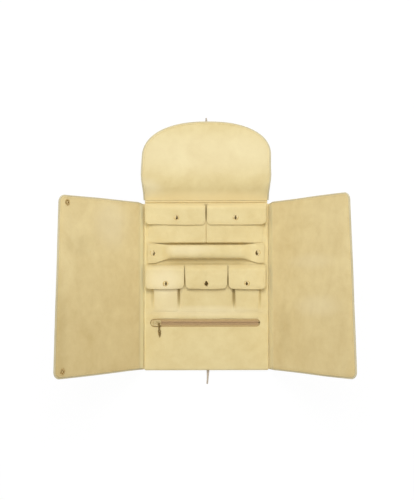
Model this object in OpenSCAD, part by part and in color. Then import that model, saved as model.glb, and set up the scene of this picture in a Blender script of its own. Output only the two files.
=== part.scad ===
// Leather jewellery case: a flat centre panel with two side wings and a top flap.
// X runs across the case, Y towards the top flap, Z up. The case stands open on z = 0.

/* [Case] */
// Width of the centre panel
panel_w = 186; // [170:1:220]
// Length of the centre panel, from bottom edge to top fold
panel_l = 250; // [240:1:290]
// Width of each side wing, from its fold to its free edge
wing_w = 170; // [150:1:176]
// Length of the top flap beyond its spine
flap_l = 98; // [90:1:112]
// Radius of the wing corners
corner_r = 10; // [4:1:20]

/* [Pose] */
// Rise of the side spines where the case lies open
spine_tilt = 75; // [60:1:85]
// Rise of the wings where the case lies open
wing_tilt = 54; // [30:1:60]
// Rise of the top spine where the flap lies back
top_tilt = 35; // [30:1:40]
// Fall of the flap from its spine to its tip
flap_fall = 8; // [5:1:8]

/* [Layers] */
// Thickness of the outer leather
leather_t = 1.2; // [1:0.1:1.6]
// Thickness of the stiffening board
board_t = 1.2; // [1:0.1:1.6]
// Thickness of the suede lining
suede_t = 0.8; // [0.6:0.1:1]
// Thickness of the foam under the centre lining
foam_t = 2.5; // [2.5:0.1:4]
// Height of the turned edges that the case stands on
rim_h = 1.5; // [1.4:0.1:2.5]

/* [Pockets] */
// Inner depth of the snap pockets
pocket_d = 5; // [4.6:0.1:6]
// Length of the two upper flaps
upper_flap_l = 32; // [28:1:33]
// Length of the three middle flaps
middle_flap_l = 37; // [35:1:39]
// Length of the upper pockets below their mouths
upper_pocket_l = 51; // [46:1:53]
// Length of the middle pockets below their mouths
middle_pocket_l = 61; // [55:1:64]
// Diameter of the snap caps
snap_d = 8.2; // [7:0.2:10]

/* [Ring bar] */
// Width of the padded ring bar
bar_w = 23; // [20:0.5:25]
// Height of the padded ring bar
bar_h = 11; // [9:0.5:11.5]

/* [Zip] */
// Distance from the zip opening to the edges of the panel
zip_margin = 11; // [9:1:20]
// Height of the zip opening
zip_h = 12.4; // [11:0.2:14]

/* [Lace] */
// Width of the lace
lace_w = 4.5; // [3:0.5:6]
// Thickness of the lace
lace_t = 1.2; // [1:0.1:1.3]

/* [Hidden] */
$fn = 64;
eps = 0.01;
gap = 0.3;
suede_c = "#e6d3a0";
leather_c = "#cfae8c";
board_c = "#9a8a74";
foam_c = "#efe8d2";
brass_c = "#d3ad5c";
tape_c = "#ab8c66";
lace_c = "#cdbfae";

// heights in the centre panel
cover_z = rim_h;
board_z = cover_z + leather_t;
foam_z = board_z + board_t;
lining_z = foam_z + foam_t;
floor_z = lining_z + suede_t;
front_z = floor_z + pocket_d;
low_front_z = front_z - 0.4;
leaf_t = leather_t + board_t + suede_t;
half_t = leaf_t / 2;

// snap fasteners
snap_r = snap_d / 2;
socket_r = 3.6;
socket_h = 0.9;
socket_bore_r = 2.1;
stud_base_h = 0.5;
stud_pin_r = 1.8;
stud_pin_h = 0.9;
stem_r = 1.5;
snap_room = 1.8;
cap_rim_h = 0.5;
cap_dome_h = 0.9;
flap_z = front_z + suede_t + snap_room;
flap_t = 1;
root_z = floor_z + 1;

// share of the panel's width that places are given in
wide = panel_w / 186;
flap_w = panel_w + 4;
top_y = panel_l / 2;

// folds: rolled welts that the leaves turn about
fold_r = 2;
fold_z = cover_z + fold_r;
side_fold_x = panel_w / 2 + fold_r;
top_fold_y = panel_l / 2 + fold_r;
leaf_l = panel_l - 2;
bar_top = floor_z + gap + bar_h;
right_h = bar_top + 1.1 + half_t - fold_z;
right_outer = fold_z + right_h + half_t;
wing_stud_h = 0.6;
left_h = right_outer + wing_stud_h + gap + 1 + half_t - fold_z;
left_outer = fold_z + left_h + half_t;
flap_room = 4;
top_h = left_outer + flap_room + half_t - fold_z;

// pockets: [left edge, right edge, bottom edge, mouth]; every place in Y follows the top edge
rise_l = 8;
upper_root_y = top_y - 1;
upper_mouth = upper_root_y - rise_l;
upper_bottom = upper_mouth - upper_pocket_l;
upper_left = [-88.8 * wide, -3.4 * wide, upper_bottom, upper_mouth];
upper_right = [3.4 * wide, 86.8 * wide, upper_bottom, upper_mouth];
bar_clear = 1.6;
bar_y = upper_bottom - bar_clear - bar_w / 2;
tab_low = bar_w / 2 + 5.4;
tab_high = bar_w / 2 + 0.9;
root_clear = 3;
middle_root_y = bar_y - tab_low - root_clear;
middle_mouth = middle_root_y - rise_l;
middle_bottom = middle_mouth - middle_pocket_l;
middle_left = [-80 * wide, -42 * wide, middle_bottom, middle_mouth];
middle_centre = [-38.5 * wide, 38 * wide, middle_bottom, middle_mouth];
middle_right = [41 * wide, 79 * wide, middle_bottom, middle_mouth];
wall_t = suede_t;
pocket_r = 4;

// pocket flaps: left and right edges
upper_flap_left = [-91 * wide, -2 * wide];
upper_flap_right = [2 * wide, 89.3 * wide];
middle_flap_left = [-90.5 * wide, -32.8 * wide];
middle_flap_centre = [-31.8 * wide, 31.8 * wide];
middle_flap_right = [32.8 * wide, 88.4 * wide];
flap_corner_r = 7;

// snap positions on the pocket flaps
upper_snap_y = upper_root_y - upper_flap_l + 10.5;
upper_snap_x = 44 * wide;
middle_snap_y = middle_root_y - middle_flap_l + 9.5;
middle_snap_x = 60.5 * wide;

// ring bar
bar_x0 = -62 * wide;
bar_x1 = 62 * wide;
bar_shell_t = 0.8;
bar_hinge_x = bar_x0 - 6.5;
tab_z = floor_z + snap_room;
tab_t = 1.2;
tab_left_x = -88.3 * wide;
tab_right_x = 86.8 * wide;
bar_snap_left = -80 * wide;
bar_snap_right = 77 * wide;
bar_snap_y = bar_y - 2.2;

// zip
zip_l = panel_w - 2 * zip_margin;
zip_x = -1.7;
zip_y = middle_bottom - 17.1;
tape_t = 0.6;
tape_z = lining_z - tape_t;
tape_w = 11;
tape_gap = 1;
coil_r = 1.1;
bag_x0 = zip_x - zip_l / 2 - 2;
bag_x1 = zip_x + zip_l / 2 + 2;
bag_y0 = 5 - top_y;
bag_y1 = zip_y + tape_w + 1;
slider_l = 15;
slider_w = 10;
slider_x = zip_x - zip_l / 2 + 1.2 + slider_l / 2;
slider_z = lining_z + coil_r + gap;
pin_x = slider_x + 4.5;
pin_y = zip_y - 1.8;
pin_z = slider_z + 3.3;
pin_r = 0.7;

// lace
lace_x = 0.5;
lace_end_x = 1.3;
lace_tail = 21;
lace_beyond = 6;
lace_mid_z = lace_t / 2 + 0.1;
lace_side = half_t + lace_t / 2 + 0.1;

// the frame's origin lies under the middle of the open case
reach_x = wing_w * cos(wing_tilt) + half_t * sin(wing_tilt);
right_end = side_fold_x + right_h * cos(spine_tilt) + reach_x;
left_end = side_fold_x + left_h * cos(spine_tilt) + reach_x;
flap_tip = top_fold_y + top_h * cos(top_tilt) + flap_l * cos(flap_fall) + lace_beyond;
shift_x = (left_end - right_end) / 2;
shift_y = -(flap_tip - panel_l / 2) / 2;

// ---------- helpers ----------

module centred() { translate([shift_x, shift_y, 0]) children(); }

// flat plate with rounded corners between two opposite corners
module round_rect(x0, y0, x1, y1, r) {
    translate([x0 + r, y0]) square([x1 - x0 - 2 * r, y1 - y0]);
    translate([x0, y0 + r]) square([x1 - x0, y1 - y0 - 2 * r]);
    for (x = [x0 + r, x1 - r], y = [y0 + r, y1 - r]) translate([x, y]) circle(r);
}

// plate whose two corners at the far X end are rounded
module leaf_outline(x0, x1, l, r) {
    translate([x0, -l / 2]) square([x1 - x0 - r, l]);
    translate([x0, -l / 2 + r]) square([x1 - x0, l - 2 * r]);
    for (y = [-l / 2 + r, l / 2 - r]) translate([x1 - r, y]) circle(r);
}

// a leaf's frame: X runs out from the fold, Z is the lined side
module on_side_spine() {
    translate([side_fold_x, 0, fold_z]) rotate([0, -spine_tilt, 0]) children();
}

module on_side_wing(h) {
    translate([side_fold_x + h * cos(spine_tilt), 0, fold_z + h * sin(spine_tilt)])
        rotate([0, -wing_tilt, 0]) children();
}

module on_top_spine() {
    translate([0, top_fold_y, fold_z]) rotate([top_tilt, 0, 0]) children();
}

module on_flap() {
    translate([0, top_fold_y + top_h * cos(top_tilt), fold_z + top_h * sin(top_tilt)])
        rotate([-flap_fall, 0, 0]) children();
}

module roll_y(r, l) { rotate([90, 0, 0]) cylinder(h = l, r = r, center = true); }

module roll_x(r, l) { rotate([0, 90, 0]) cylinder(h = l, r = r, center = true); }

// ---------- centre panel ----------

module back_cover() {
    w = panel_w / 2;
    l = panel_l / 2;
    color(leather_c) centred() {
        translate([0, 0, cover_z]) linear_extrude(leather_t) round_rect(-w, -l, w, l, 3);
        for (s = [-1, 1]) translate([s * (w - 7), 0, 0]) linear_extrude(rim_h + eps)
            round_rect(-6, -l + 1, 6, l - 1, 3);
    }
}

module centre_board() {
    w = panel_w / 2 - 1;
    l = panel_l / 2 - 1;
    color(board_c) centred() translate([0, 0, board_z])
        linear_extrude(board_t) round_rect(-w, -l, w, l, 2);
}

module centre_foam() {
    w = panel_w / 2 - 1.5;
    l = panel_l / 2 - 1.5;
    color(foam_c) centred() translate([0, 0, foam_z]) linear_extrude(foam_t) difference() {
        round_rect(-w, -l, w, l, 2);
        translate([bag_x0 - 0.5, bag_y0 - 0.5]) square([bag_x1 - bag_x0 + 1, bag_y1 - bag_y0 + 1]);
    }
}

module zip_outline(grow) {
    r = zip_h / 2 + grow;
    translate([zip_x, zip_y]) {
        square([zip_l - zip_h, 2 * r], center = true);
        for (s = [-1, 1]) translate([s * (zip_l - zip_h) / 2, 0]) circle(r);
    }
}

module centre_lining() {
    w = panel_w / 2;
    l = panel_l / 2;
    color(suede_c) centred() translate([0, 0, lining_z]) linear_extrude(suede_t) difference() {
        round_rect(-w, -l, w, l, 3);
        zip_outline(0);
    }
}

module fold_right() {
    color(suede_c) centred() translate([side_fold_x, 0, fold_z]) roll_y(fold_r, leaf_l);
}

module fold_left() {
    color(suede_c) centred() translate([-side_fold_x, 0, fold_z]) roll_y(fold_r, leaf_l);
}

module fold_top() {
    color(suede_c) centred() translate([0, top_fold_y, fold_z]) roll_x(fold_r, panel_w - 2);
}

// ---------- pockets ----------

// shallow bag open towards the flap's root; p is [left, right, bottom, mouth]
module pocket(p, top_z) {
    r = pocket_r;
    h = top_z + wall_t - floor_z;
    color(suede_c) centred() translate([0, 0, floor_z]) difference() {
        linear_extrude(h) union() {
            translate([p[0], p[2] + r]) square([p[1] - p[0], p[3] - p[2] - r]);
            translate([p[0] + r, p[2]]) square([p[1] - p[0] - 2 * r, r + eps]);
            for (x = [p[0] + r, p[1] - r]) translate([x, p[2] + r]) circle(r);
        }
        translate([p[0] + wall_t, p[2] + r, -eps])
            cube([p[1] - p[0] - 2 * wall_t, p[3] - p[2], h - wall_t + eps]);
    }
}

module pocket_upper_left() { pocket(upper_left, front_z); }

module pocket_upper_right() { pocket(upper_right, front_z); }

module pocket_middle_left() { pocket(middle_left, front_z); }

module pocket_middle_centre() { pocket(middle_centre, low_front_z); }

module pocket_middle_right() { pocket(middle_right, front_z); }

// lower half of a snap: a base disc with a pin
module stud(z, base_h) {
    translate([0, 0, z]) cylinder(h = base_h, r = socket_r);
    translate([0, 0, z]) cylinder(h = base_h + stud_pin_h, r = stud_pin_r);
}

// upper half of a snap: domed cap, stem through the flap and socket under it
module snap_top(z, t) {
    dome_r = (snap_r * snap_r + cap_dome_h * cap_dome_h) / (2 * cap_dome_h);
    translate([0, 0, z + t]) cylinder(h = cap_rim_h, r = snap_r);
    translate([0, 0, z + t + cap_rim_h]) intersection() {
        translate([0, 0, cap_dome_h - dome_r]) sphere(dome_r);
        cylinder(h = cap_dome_h + eps, r = snap_r);
    }
    translate([0, 0, z]) cylinder(h = t + eps, r = stem_r);
    translate([0, 0, z - socket_h]) difference() {
        cylinder(h = socket_h, r = socket_r);
        translate([0, 0, -eps]) cylinder(h = socket_h - 0.1, r = socket_bore_r);
    }
}

module pocket_studs() {
    color(brass_c) centred() {
        for (s = [-1, 1]) translate([s * upper_snap_x, upper_snap_y, 0])
            stud(front_z + wall_t, stud_base_h);
        for (s = [-1, 1]) translate([s * middle_snap_x, middle_snap_y, 0])
            stud(front_z + wall_t, stud_base_h);
        translate([0, middle_snap_y, 0]) stud(low_front_z + wall_t, stud_base_h + 0.4);
    }
}

// pocket flap: folded up from its root, then flat over the pocket's front
module pocket_flap(side, root_y, l, snap_x, snap_y) {
    r = flap_corner_r;
    x0 = side[0];
    x1 = side[1];
    y1 = root_y - rise_l;
    y0 = root_y - l;
    h = flap_z - root_z + flap_t / 2;
    color(suede_c) centred() {
        translate([(x0 + x1) / 2, root_y, root_z]) roll_x(flap_t / 2, x1 - x0);
        translate([x0, root_y, root_z]) rotate([90, 0, 90]) linear_extrude(x1 - x0)
            polygon([[0, -0.5], [-rise_l, h - 0.5], [-rise_l, h + 0.5], [0, 0.5]]);
        translate([0, 0, flap_z]) linear_extrude(flap_t) difference() {
            union() {
                translate([x0, y0 + r]) square([x1 - x0, y1 - y0 - r + eps]);
                translate([x0 + r, y0]) square([x1 - x0 - 2 * r, r + eps]);
                for (x = [x0 + r, x1 - r]) translate([x, y0 + r]) circle(r);
            }
            translate([snap_x, snap_y]) circle(stem_r);
        }
    }
}

module flap_upper_left() {
    pocket_flap(upper_flap_left, upper_root_y, upper_flap_l, -upper_snap_x, upper_snap_y);
}

module flap_upper_right() {
    pocket_flap(upper_flap_right, upper_root_y, upper_flap_l, upper_snap_x, upper_snap_y);
}

module flap_middle_left() {
    pocket_flap(middle_flap_left, middle_root_y, middle_flap_l, -middle_snap_x, middle_snap_y);
}

module flap_middle_centre() {
    pocket_flap(middle_flap_centre, middle_root_y, middle_flap_l, 0, middle_snap_y);
}

module flap_middle_right() {
    pocket_flap(middle_flap_right, middle_root_y, middle_flap_l, middle_snap_x, middle_snap_y);
}

module flap_snap(x, y) {
    color(brass_c) centred() translate([x, y, 0]) snap_top(flap_z, flap_t);
}

module snap_upper_left() { flap_snap(-upper_snap_x, upper_snap_y); }

module snap_upper_right() { flap_snap(upper_snap_x, upper_snap_y); }

module snap_middle_left() { flap_snap(-middle_snap_x, middle_snap_y); }

module snap_middle_centre() { flap_snap(0, middle_snap_y); }

module snap_middle_right() { flap_snap(middle_snap_x, middle_snap_y); }

// ---------- ring bar ----------

module bar_section(w, h) {
    r = h / 2;
    square([w - 2 * r, h], center = true);
    for (s = [-1, 1]) translate([s * (w / 2 - r), 0]) circle(r);
}

// round bar along X between two ends
module bar_solid(x0, x1, w, h) {
    translate([x0, bar_y, floor_z + gap + bar_h / 2]) rotate([90, 0, 90])
        linear_extrude(x1 - x0) bar_section(w, h);
}

// flat tab that widens towards its outer end
module tab_plate(x0, x1, snap_x) {
    translate([0, bar_y, tab_z]) linear_extrude(tab_t) difference() {
        polygon([
            [x0, 1 - bar_w / 2], [x1, -tab_low], [x1, tab_high], [x0, bar_w / 2 - 1],
        ]);
        translate([snap_x, bar_snap_y - bar_y]) circle(stem_r);
    }
}

module ring_bar_core() {
    t = 2 * bar_shell_t;
    color(foam_c) centred() bar_solid(bar_x0, bar_x1, bar_w - t, bar_h - t);
}

module ring_bar_cover() {
    t = 2 * bar_shell_t;
    color(suede_c) centred() {
        difference() {
            bar_solid(bar_x0 - bar_shell_t, bar_x1 + bar_shell_t, bar_w, bar_h);
            bar_solid(bar_x0, bar_x1, bar_w - t, bar_h - t);
        }
        tab_plate(bar_x1 + bar_shell_t - eps, tab_right_x, bar_snap_right);
        translate([bar_hinge_x, bar_y - bar_w / 2 + 2, tab_z])
            cube([bar_x0 - bar_shell_t + eps - bar_hinge_x, bar_w - 4, tab_t]);
        translate([bar_hinge_x, bar_y, tab_z + tab_t / 2]) roll_y(tab_t / 2, bar_w - 4);
    }
}

module ring_bar_snap() {
    color(brass_c) centred() translate([bar_snap_right, bar_snap_y, 0]) snap_top(tab_z, tab_t);
}

module bar_tab_left() {
    color(suede_c) centred() tab_plate(bar_hinge_x - tab_t / 2 - gap, tab_left_x, bar_snap_left);
}

module bar_tab_left_snap() {
    color(brass_c) centred() translate([bar_snap_left, bar_snap_y, 0]) snap_top(tab_z, tab_t);
}

module bar_studs() {
    color(brass_c) centred() for (x = [bar_snap_left, bar_snap_right])
        translate([x, bar_snap_y, 0]) stud(floor_z, stud_base_h);
}

// ---------- zip ----------

module zip_bag() {
    cut_y = zip_y - tape_w - 1;
    color(foam_c) centred() difference() {
        translate([bag_x0, bag_y0, foam_z]) cube([bag_x1 - bag_x0, bag_y1 - bag_y0, foam_t]);
        translate([bag_x0 + 0.5, bag_y0 + 0.5, foam_z + 0.4])
            cube([bag_x1 - bag_x0 - 1, bag_y1 - bag_y0 - 1, foam_t - tape_t - 0.4]);
        translate([bag_x0 + 0.5, cut_y, tape_z - eps])
            cube([bag_x1 - bag_x0 - 1, bag_y1 - cut_y - 0.5, tape_t + 2 * eps]);
    }
}

module zip_tape(side) {
    x0 = bag_x0 + 1;
    y0 = side > 0 ? tape_gap / 2 : -tape_w;
    color(tape_c) centred() translate([x0, zip_y + y0, tape_z])
        cube([bag_x1 - bag_x0 - 2, tape_w - tape_gap / 2, tape_t]);
}

module zip_tape_upper() { zip_tape(1); }

module zip_tape_lower() { zip_tape(-1); }

// half-round rib of the coil, sewn along the tape's edge
module zip_coil(side) {
    color(tape_c) centred() translate([zip_x, zip_y + side * (tape_gap / 2 + coil_r), lining_z])
        intersection() {
            roll_x(coil_r, zip_l - 4);
            translate([-zip_l / 2, -coil_r, 0]) cube([zip_l, 2 * coil_r, coil_r]);
        }
}

module zip_coil_upper() { zip_coil(1); }

module zip_coil_lower() { zip_coil(-1); }

// metal staples that stop the slider, one past each end of the coil
module zip_stops() {
    color(brass_c) centred() for (s = [-1, 1])
        translate([zip_x + s * (zip_l / 2 - 1.3) - 0.5, zip_y - 2.5, lining_z]) cube([1, 5, 1.1]);
}

module slider() {
    plate_t = 1;
    under_z = foam_z + 0.5;
    color(brass_c) centred() translate([slider_x, zip_y, 0]) {
        translate([0, 0, slider_z]) linear_extrude(plate_t)
            round_rect(-slider_l / 2, -slider_w / 2, slider_l / 2, slider_w / 2, 4);
        for (s = [-1, 1]) translate([-4.5, s * 4 - 0.6, lining_z + gap])
            cube([9, 1.2, slider_z - lining_z - gap + eps]);
        translate([-5, -0.3, under_z]) cube([3, 0.6, slider_z - under_z + eps]);
        translate([0, 0, under_z]) linear_extrude(plate_t)
            round_rect(-slider_l / 2 + 1, -slider_w / 2 + 1, slider_l / 2 - 1, slider_w / 2 - 1, 3);
        for (s = [-1, 1]) translate([pin_x - slider_x + s * 2.4 - 0.5, pin_y - zip_y - 1.2, slider_z])
            cube([1, 2.4, pin_z - slider_z + 1]);
        translate([pin_x - slider_x, pin_y - zip_y, pin_z]) roll_x(pin_r, 5);
    }
}

// drop-shaped pull on an eye that turns about the slider's pin
module slider_pull() {
    droop = 4.5;
    color(brass_c) centred() translate([pin_x, pin_y, pin_z]) rotate([droop, 0, 0]) difference() {
        union() {
            roll_x(1.9, 3.2);
            translate([0, 0, -1.9]) linear_extrude(1.2) {
                translate([-1.2, -9]) square([2.4, 9]);
                translate([0, -10.5]) circle(2.4);
                polygon([[-2.3, -11.2], [2.3, -11.2], [0.6, -20], [-0.6, -20]]);
            }
        }
        roll_x(pin_r + gap, 6);
        translate([0, -10.5, -3]) cylinder(h = 4, r = 1.2);
    }
}

// ---------- side spines and wings ----------

module spine_layer(h, z0, t) {
    translate([fold_r + gap, -leaf_l / 2, z0 - half_t])
        cube([h - half_t - fold_r - gap, leaf_l, t]);
}

module wing_layer(z0, t, inset) {
    translate([0, 0, z0 - half_t]) linear_extrude(t)
        leaf_outline(half_t + gap, wing_w - inset, leaf_l - 2 * inset, corner_r);
}

module left_hand() { centred() mirror([1, 0, 0]) children(); }

module spine_right_cover() {
    color(leather_c) centred() on_side_spine() spine_layer(right_h, 0, leather_t + board_t);
}

module spine_right_lining() {
    color(suede_c) centred() on_side_spine() spine_layer(right_h, leather_t + board_t, suede_t);
}

module fold_wing_right() {
    color(suede_c) centred() on_side_wing(right_h) roll_y(half_t, leaf_l);
}

module spine_left_cover() {
    color(leather_c) left_hand() on_side_spine() spine_layer(left_h, 0, leather_t + board_t);
}

module spine_left_lining() {
    color(suede_c) left_hand() on_side_spine() spine_layer(left_h, leather_t + board_t, suede_t);
}

module fold_wing_left() {
    color(suede_c) left_hand() on_side_wing(left_h) roll_y(half_t, leaf_l);
}

module wing_right_cover() {
    color(leather_c) centred() on_side_wing(right_h) wing_layer(0, leather_t, 0);
}

module wing_right_board() {
    color(board_c) centred() on_side_wing(right_h) wing_layer(leather_t, board_t, 1);
}

module wing_right_lining() {
    color(suede_c) centred() on_side_wing(right_h) wing_layer(leather_t + board_t, suede_t, 0);
}

module wing_left_cover() {
    color(leather_c) left_hand() on_side_wing(left_h) wing_layer(0, leather_t, 0);
}

module wing_left_board() {
    color(board_c) left_hand() on_side_wing(left_h) wing_layer(leather_t, board_t, 1);
}

module wing_left_lining() {
    color(suede_c) left_hand() on_side_wing(left_h) wing_layer(leather_t + board_t, suede_t, 0);
}

// the left wing's snaps, measured from its fold and from the middle of its length
wing_snap_x = wing_w - 17;
wing_snap_y = leaf_l / 2 - 10;

module wing_left_snaps() {
    color(brass_c) left_hand() on_side_wing(left_h) for (s = [-1, 1])
        translate([wing_snap_x, s * wing_snap_y, half_t]) difference() {
            cylinder(h = 1, r = 4.4);
            translate([0, 0, 0.2]) cylinder(h = 1, r = 2.4);
        }
}

// studs on the right wing's outer face, where the left wing's snaps land
module wing_right_studs() {
    color(brass_c) centred() on_side_wing(right_h) for (s = [-1, 1])
        translate([2 * side_fold_x - wing_snap_x, s * wing_snap_y, -half_t]) rotate([180, 0, 0]) {
            cylinder(h = wing_stud_h, r = 4.2);
            cylinder(h = wing_stud_h + 0.9, r = 2);
        }
}

// ---------- top spine and flap ----------

module spine_top_layer(z0, t) {
    translate([-flap_w / 2, fold_r + gap, z0 - half_t])
        cube([flap_w, top_h - half_t - fold_r - gap, t]);
}

// straight sides, then an arch whose half-width falls along a rounded curve
module flap_outline(inset) {
    steps = 40;
    bow = 2.5;
    a = flap_w / 2 - inset;
    arch = 61 - inset;
    y0 = flap_l - inset - arch;
    y_root = half_t + gap;
    arc = [for (i = [0:steps]) let (t = 180 * i / steps)
        [a * sign(cos(t)) * pow(abs(cos(t)), 2 / bow), y0 + arch * pow(sin(t), 2 / bow)]];
    polygon(concat([[-a, y_root], [a, y_root]], arc));
}

module flap_layer(z0, t, inset) {
    translate([0, 0, z0 - half_t]) linear_extrude(t) flap_outline(inset);
}

module spine_top_cover() {
    color(leather_c) centred() on_top_spine() spine_top_layer(0, leather_t + board_t);
}

module spine_top_lining() {
    color(suede_c) centred() on_top_spine() spine_top_layer(leather_t + board_t, suede_t);
}

module fold_flap() {
    color(suede_c) centred() on_flap() roll_x(half_t, flap_w);
}

module flap_cover() { color(leather_c) centred() on_flap() flap_layer(0, leather_t, 0); }

module flap_board() { color(board_c) centred() on_flap() flap_layer(leather_t, board_t, 1); }

module flap_lining() {
    color(suede_c) centred() on_flap() flap_layer(leather_t + board_t, suede_t, 0);
}

// ---------- lace ----------

// flat strip swept along a route, eight points to a ring
module lace_sweep(route) {
    n = len(route);
    m = 8;
    ring = [for (k = [0:m - 1]) let (a = 360 * (k + 0.5) / m)
        [sign(cos(a)) * pow(abs(cos(a)), 0.5) * lace_w / 2, sin(a) * lace_t / 1.85]];
    points = [for (i = [0:n - 1], k = [0:m - 1])
        [route[i][0] + ring[k][0], route[i][1], route[i][2] + ring[k][1]]];
    sides = [for (i = [0:n - 2], k = [0:m - 1]) let (j = (k + 1) % m)
        [i * m + k, i * m + j, (i + 1) * m + j, (i + 1) * m + k]];
    first = [[for (k = [0:m - 1]) m - 1 - k]];
    last = [[for (k = [0:m - 1]) (n - 1) * m + k]];
    polyhedron(points, concat(first, sides, last), convexity = 4);
}

// the lace lies under the case, out from the bottom edge and up under the top spine
module lace_long() {
    bottom = -panel_l / 2;
    route = [
        [lace_end_x, bottom - lace_tail, lace_mid_z],
        [lace_end_x + 0.6, bottom - 10, lace_mid_z],
        [lace_end_x + 1, bottom, lace_mid_z],
        [2.4, -90, lace_mid_z],
        [1.5, -40, lace_mid_z],
        [lace_x, 0, lace_mid_z],
        [0, 50, lace_mid_z],
        [lace_x, 100, lace_mid_z],
        [lace_x, panel_l / 2 - 4, lace_mid_z],
    ];
    color(lace_c) centred() lace_sweep(route);
}

module lace_flap() {
    start = half_t + 2;
    route = [for (i = [0:6]) [lace_x, start + (flap_l - 4 - start) * i / 6, -lace_side]];
    color(lace_c) centred() on_flap() lace_sweep(route);
}

// end of the lace sewn over the flap's tip
module lace_tab() {
    color(lace_c) centred() on_flap() translate([lace_x - lace_w / 2, flap_l - 3.6, -lace_side - lace_t / 2])
        cube([lace_w, lace_beyond + 3.6, lace_t]);
}

back_cover();
centre_board();
centre_foam();
centre_lining();
fold_right();
fold_left();
fold_top();
pocket_upper_left();
pocket_upper_right();
pocket_middle_left();
pocket_middle_centre();
pocket_middle_right();
pocket_studs();
bar_studs();
bar_tab_left();
bar_tab_left_snap();
zip_bag();
zip_tape_upper();
zip_tape_lower();
zip_coil_upper();
zip_coil_lower();
zip_stops();
spine_right_cover();
spine_right_lining();
fold_wing_right();
spine_left_cover();
spine_left_lining();
fold_wing_left();
wing_right_cover();
wing_right_board();
wing_right_lining();
wing_right_studs();
wing_left_cover();
wing_left_board();
wing_left_lining();
wing_left_snaps();
spine_top_cover();
spine_top_lining();
fold_flap();
flap_cover();
flap_board();
flap_lining();
lace_tab();
flap_upper_left();
flap_upper_right();
flap_middle_left();
flap_middle_centre();
flap_middle_right();
snap_upper_left();
snap_upper_right();
snap_middle_left();
snap_middle_centre();
snap_middle_right();
ring_bar_core();
ring_bar_cover();
ring_bar_snap();
slider();
slider_pull();
lace_long();
lace_flap();
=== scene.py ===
import math

import bmesh
import bpy
import numpy as np
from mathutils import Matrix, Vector


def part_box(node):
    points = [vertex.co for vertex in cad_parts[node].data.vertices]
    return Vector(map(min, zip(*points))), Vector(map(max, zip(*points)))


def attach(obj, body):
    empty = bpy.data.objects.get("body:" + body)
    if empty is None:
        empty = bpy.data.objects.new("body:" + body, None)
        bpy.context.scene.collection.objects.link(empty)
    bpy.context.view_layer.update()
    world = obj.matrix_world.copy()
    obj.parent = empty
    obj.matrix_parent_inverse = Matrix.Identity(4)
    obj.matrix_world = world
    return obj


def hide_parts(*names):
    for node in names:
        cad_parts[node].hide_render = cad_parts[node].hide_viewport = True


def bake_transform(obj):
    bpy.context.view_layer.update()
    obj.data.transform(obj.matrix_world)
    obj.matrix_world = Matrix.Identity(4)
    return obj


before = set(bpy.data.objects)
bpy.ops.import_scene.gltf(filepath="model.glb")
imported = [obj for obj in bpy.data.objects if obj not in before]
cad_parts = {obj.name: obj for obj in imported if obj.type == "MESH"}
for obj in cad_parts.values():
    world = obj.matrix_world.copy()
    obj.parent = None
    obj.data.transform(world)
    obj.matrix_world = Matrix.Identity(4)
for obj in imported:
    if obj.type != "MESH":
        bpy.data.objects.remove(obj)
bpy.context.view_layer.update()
print("frame loaded")

# ---- measures shared by every piece, in metres, from the solids but for the flap's rounder arch
case = {
    "panelWidth": 0.186, "panelLength": 0.250, "panelCorner": 0.003,
    "wingWidth": 0.170, "leafLength": 0.248, "wingCorner": 0.010,
    "flapWidth": 0.190, "flapLength": 0.098, "flapArch": 0.055, "flapBow": 2.25,
    "foldRadius": 0.002, "foldHeight": 0.0035, "leafHalf": 0.0016, "gap": 0.0003,
    "rightSpine": 0.0177, "leftSpine": 0.0228, "topSpine": 0.0300,
    "spineTilt": 75.0, "wingTilt": 54.0, "topTilt": 35.0, "flapFall": 8.0,
    "floor": 0.0072, "wall": 0.0008,
    "pocketTop": 0.0130, "lowPocketTop": 0.0126, "flapHeight": 0.0148, "flapThick": 0.0010,
    "upperRoot": 0.1240, "middleRoot": 0.0316, "barY": 0.0519,
    "laceWidth": 0.0045, "laceThick": 0.0012,
}
sideFold = case["panelWidth"] / 2 + case["foldRadius"]
topFold = case["panelLength"] / 2 + case["foldRadius"]

low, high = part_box("back_cover")
middle = Vector(((low.x + high.x) / 2, (low.y + high.y) / 2, 0))


def place(x, y, z):
    return Vector((middle.x + x, middle.y + y, z))


def fullTurn(count):
    return np.linspace(0, 2 * math.pi, count, endpoint=False)


# ---- camera and light
view = {
    "aim": (0.0012, 0.0545, 0.0), "distance": 1.619, "elevation": 87.92,
    "focalPixels": 1078.0, "imageHeight": 500, "roll": -0.13,
    "keySpot": (0.02, 0.86, 1.24), "keySize": 0.9, "keyPower": 15.3,
    "fillSpot": (-0.1, -1.2, 1.5), "fillSize": 1.6, "fillPower": 9.5, "sky": 0.31,
}


def addCamera():
    data = bpy.data.cameras.new("viewCamera")
    data.lens = view["focalPixels"] * data.sensor_width / view["imageHeight"]
    camera = bpy.data.objects.new("viewCamera", data)
    bpy.context.scene.collection.objects.link(camera)
    aim = place(*view["aim"])
    tilt = math.radians(view["elevation"])
    camera.location = aim + view["distance"] * Vector((0, -math.cos(tilt), math.sin(tilt)))
    turn = (aim - camera.location).to_track_quat("-Z", "Y")
    camera.rotation_euler = turn.to_euler()
    camera.rotation_euler.rotate_axis("Z", math.radians(view["roll"]))
    bpy.context.scene.camera = camera


def areaLight(name, spot, aim, size, watts):
    data = bpy.data.lights.new(name, "AREA")
    data.shape = "SQUARE"
    data.size = size
    data.energy = watts
    lamp = bpy.data.objects.new(name, data)
    bpy.context.scene.collection.objects.link(lamp)
    lamp.location = place(*spot)
    lamp.rotation_euler = (place(*aim) - lamp.location).to_track_quat("-Z", "Y").to_euler()
    lamp.visible_glossy = False  # the metal mirrors the white room, not the lamps


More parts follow.
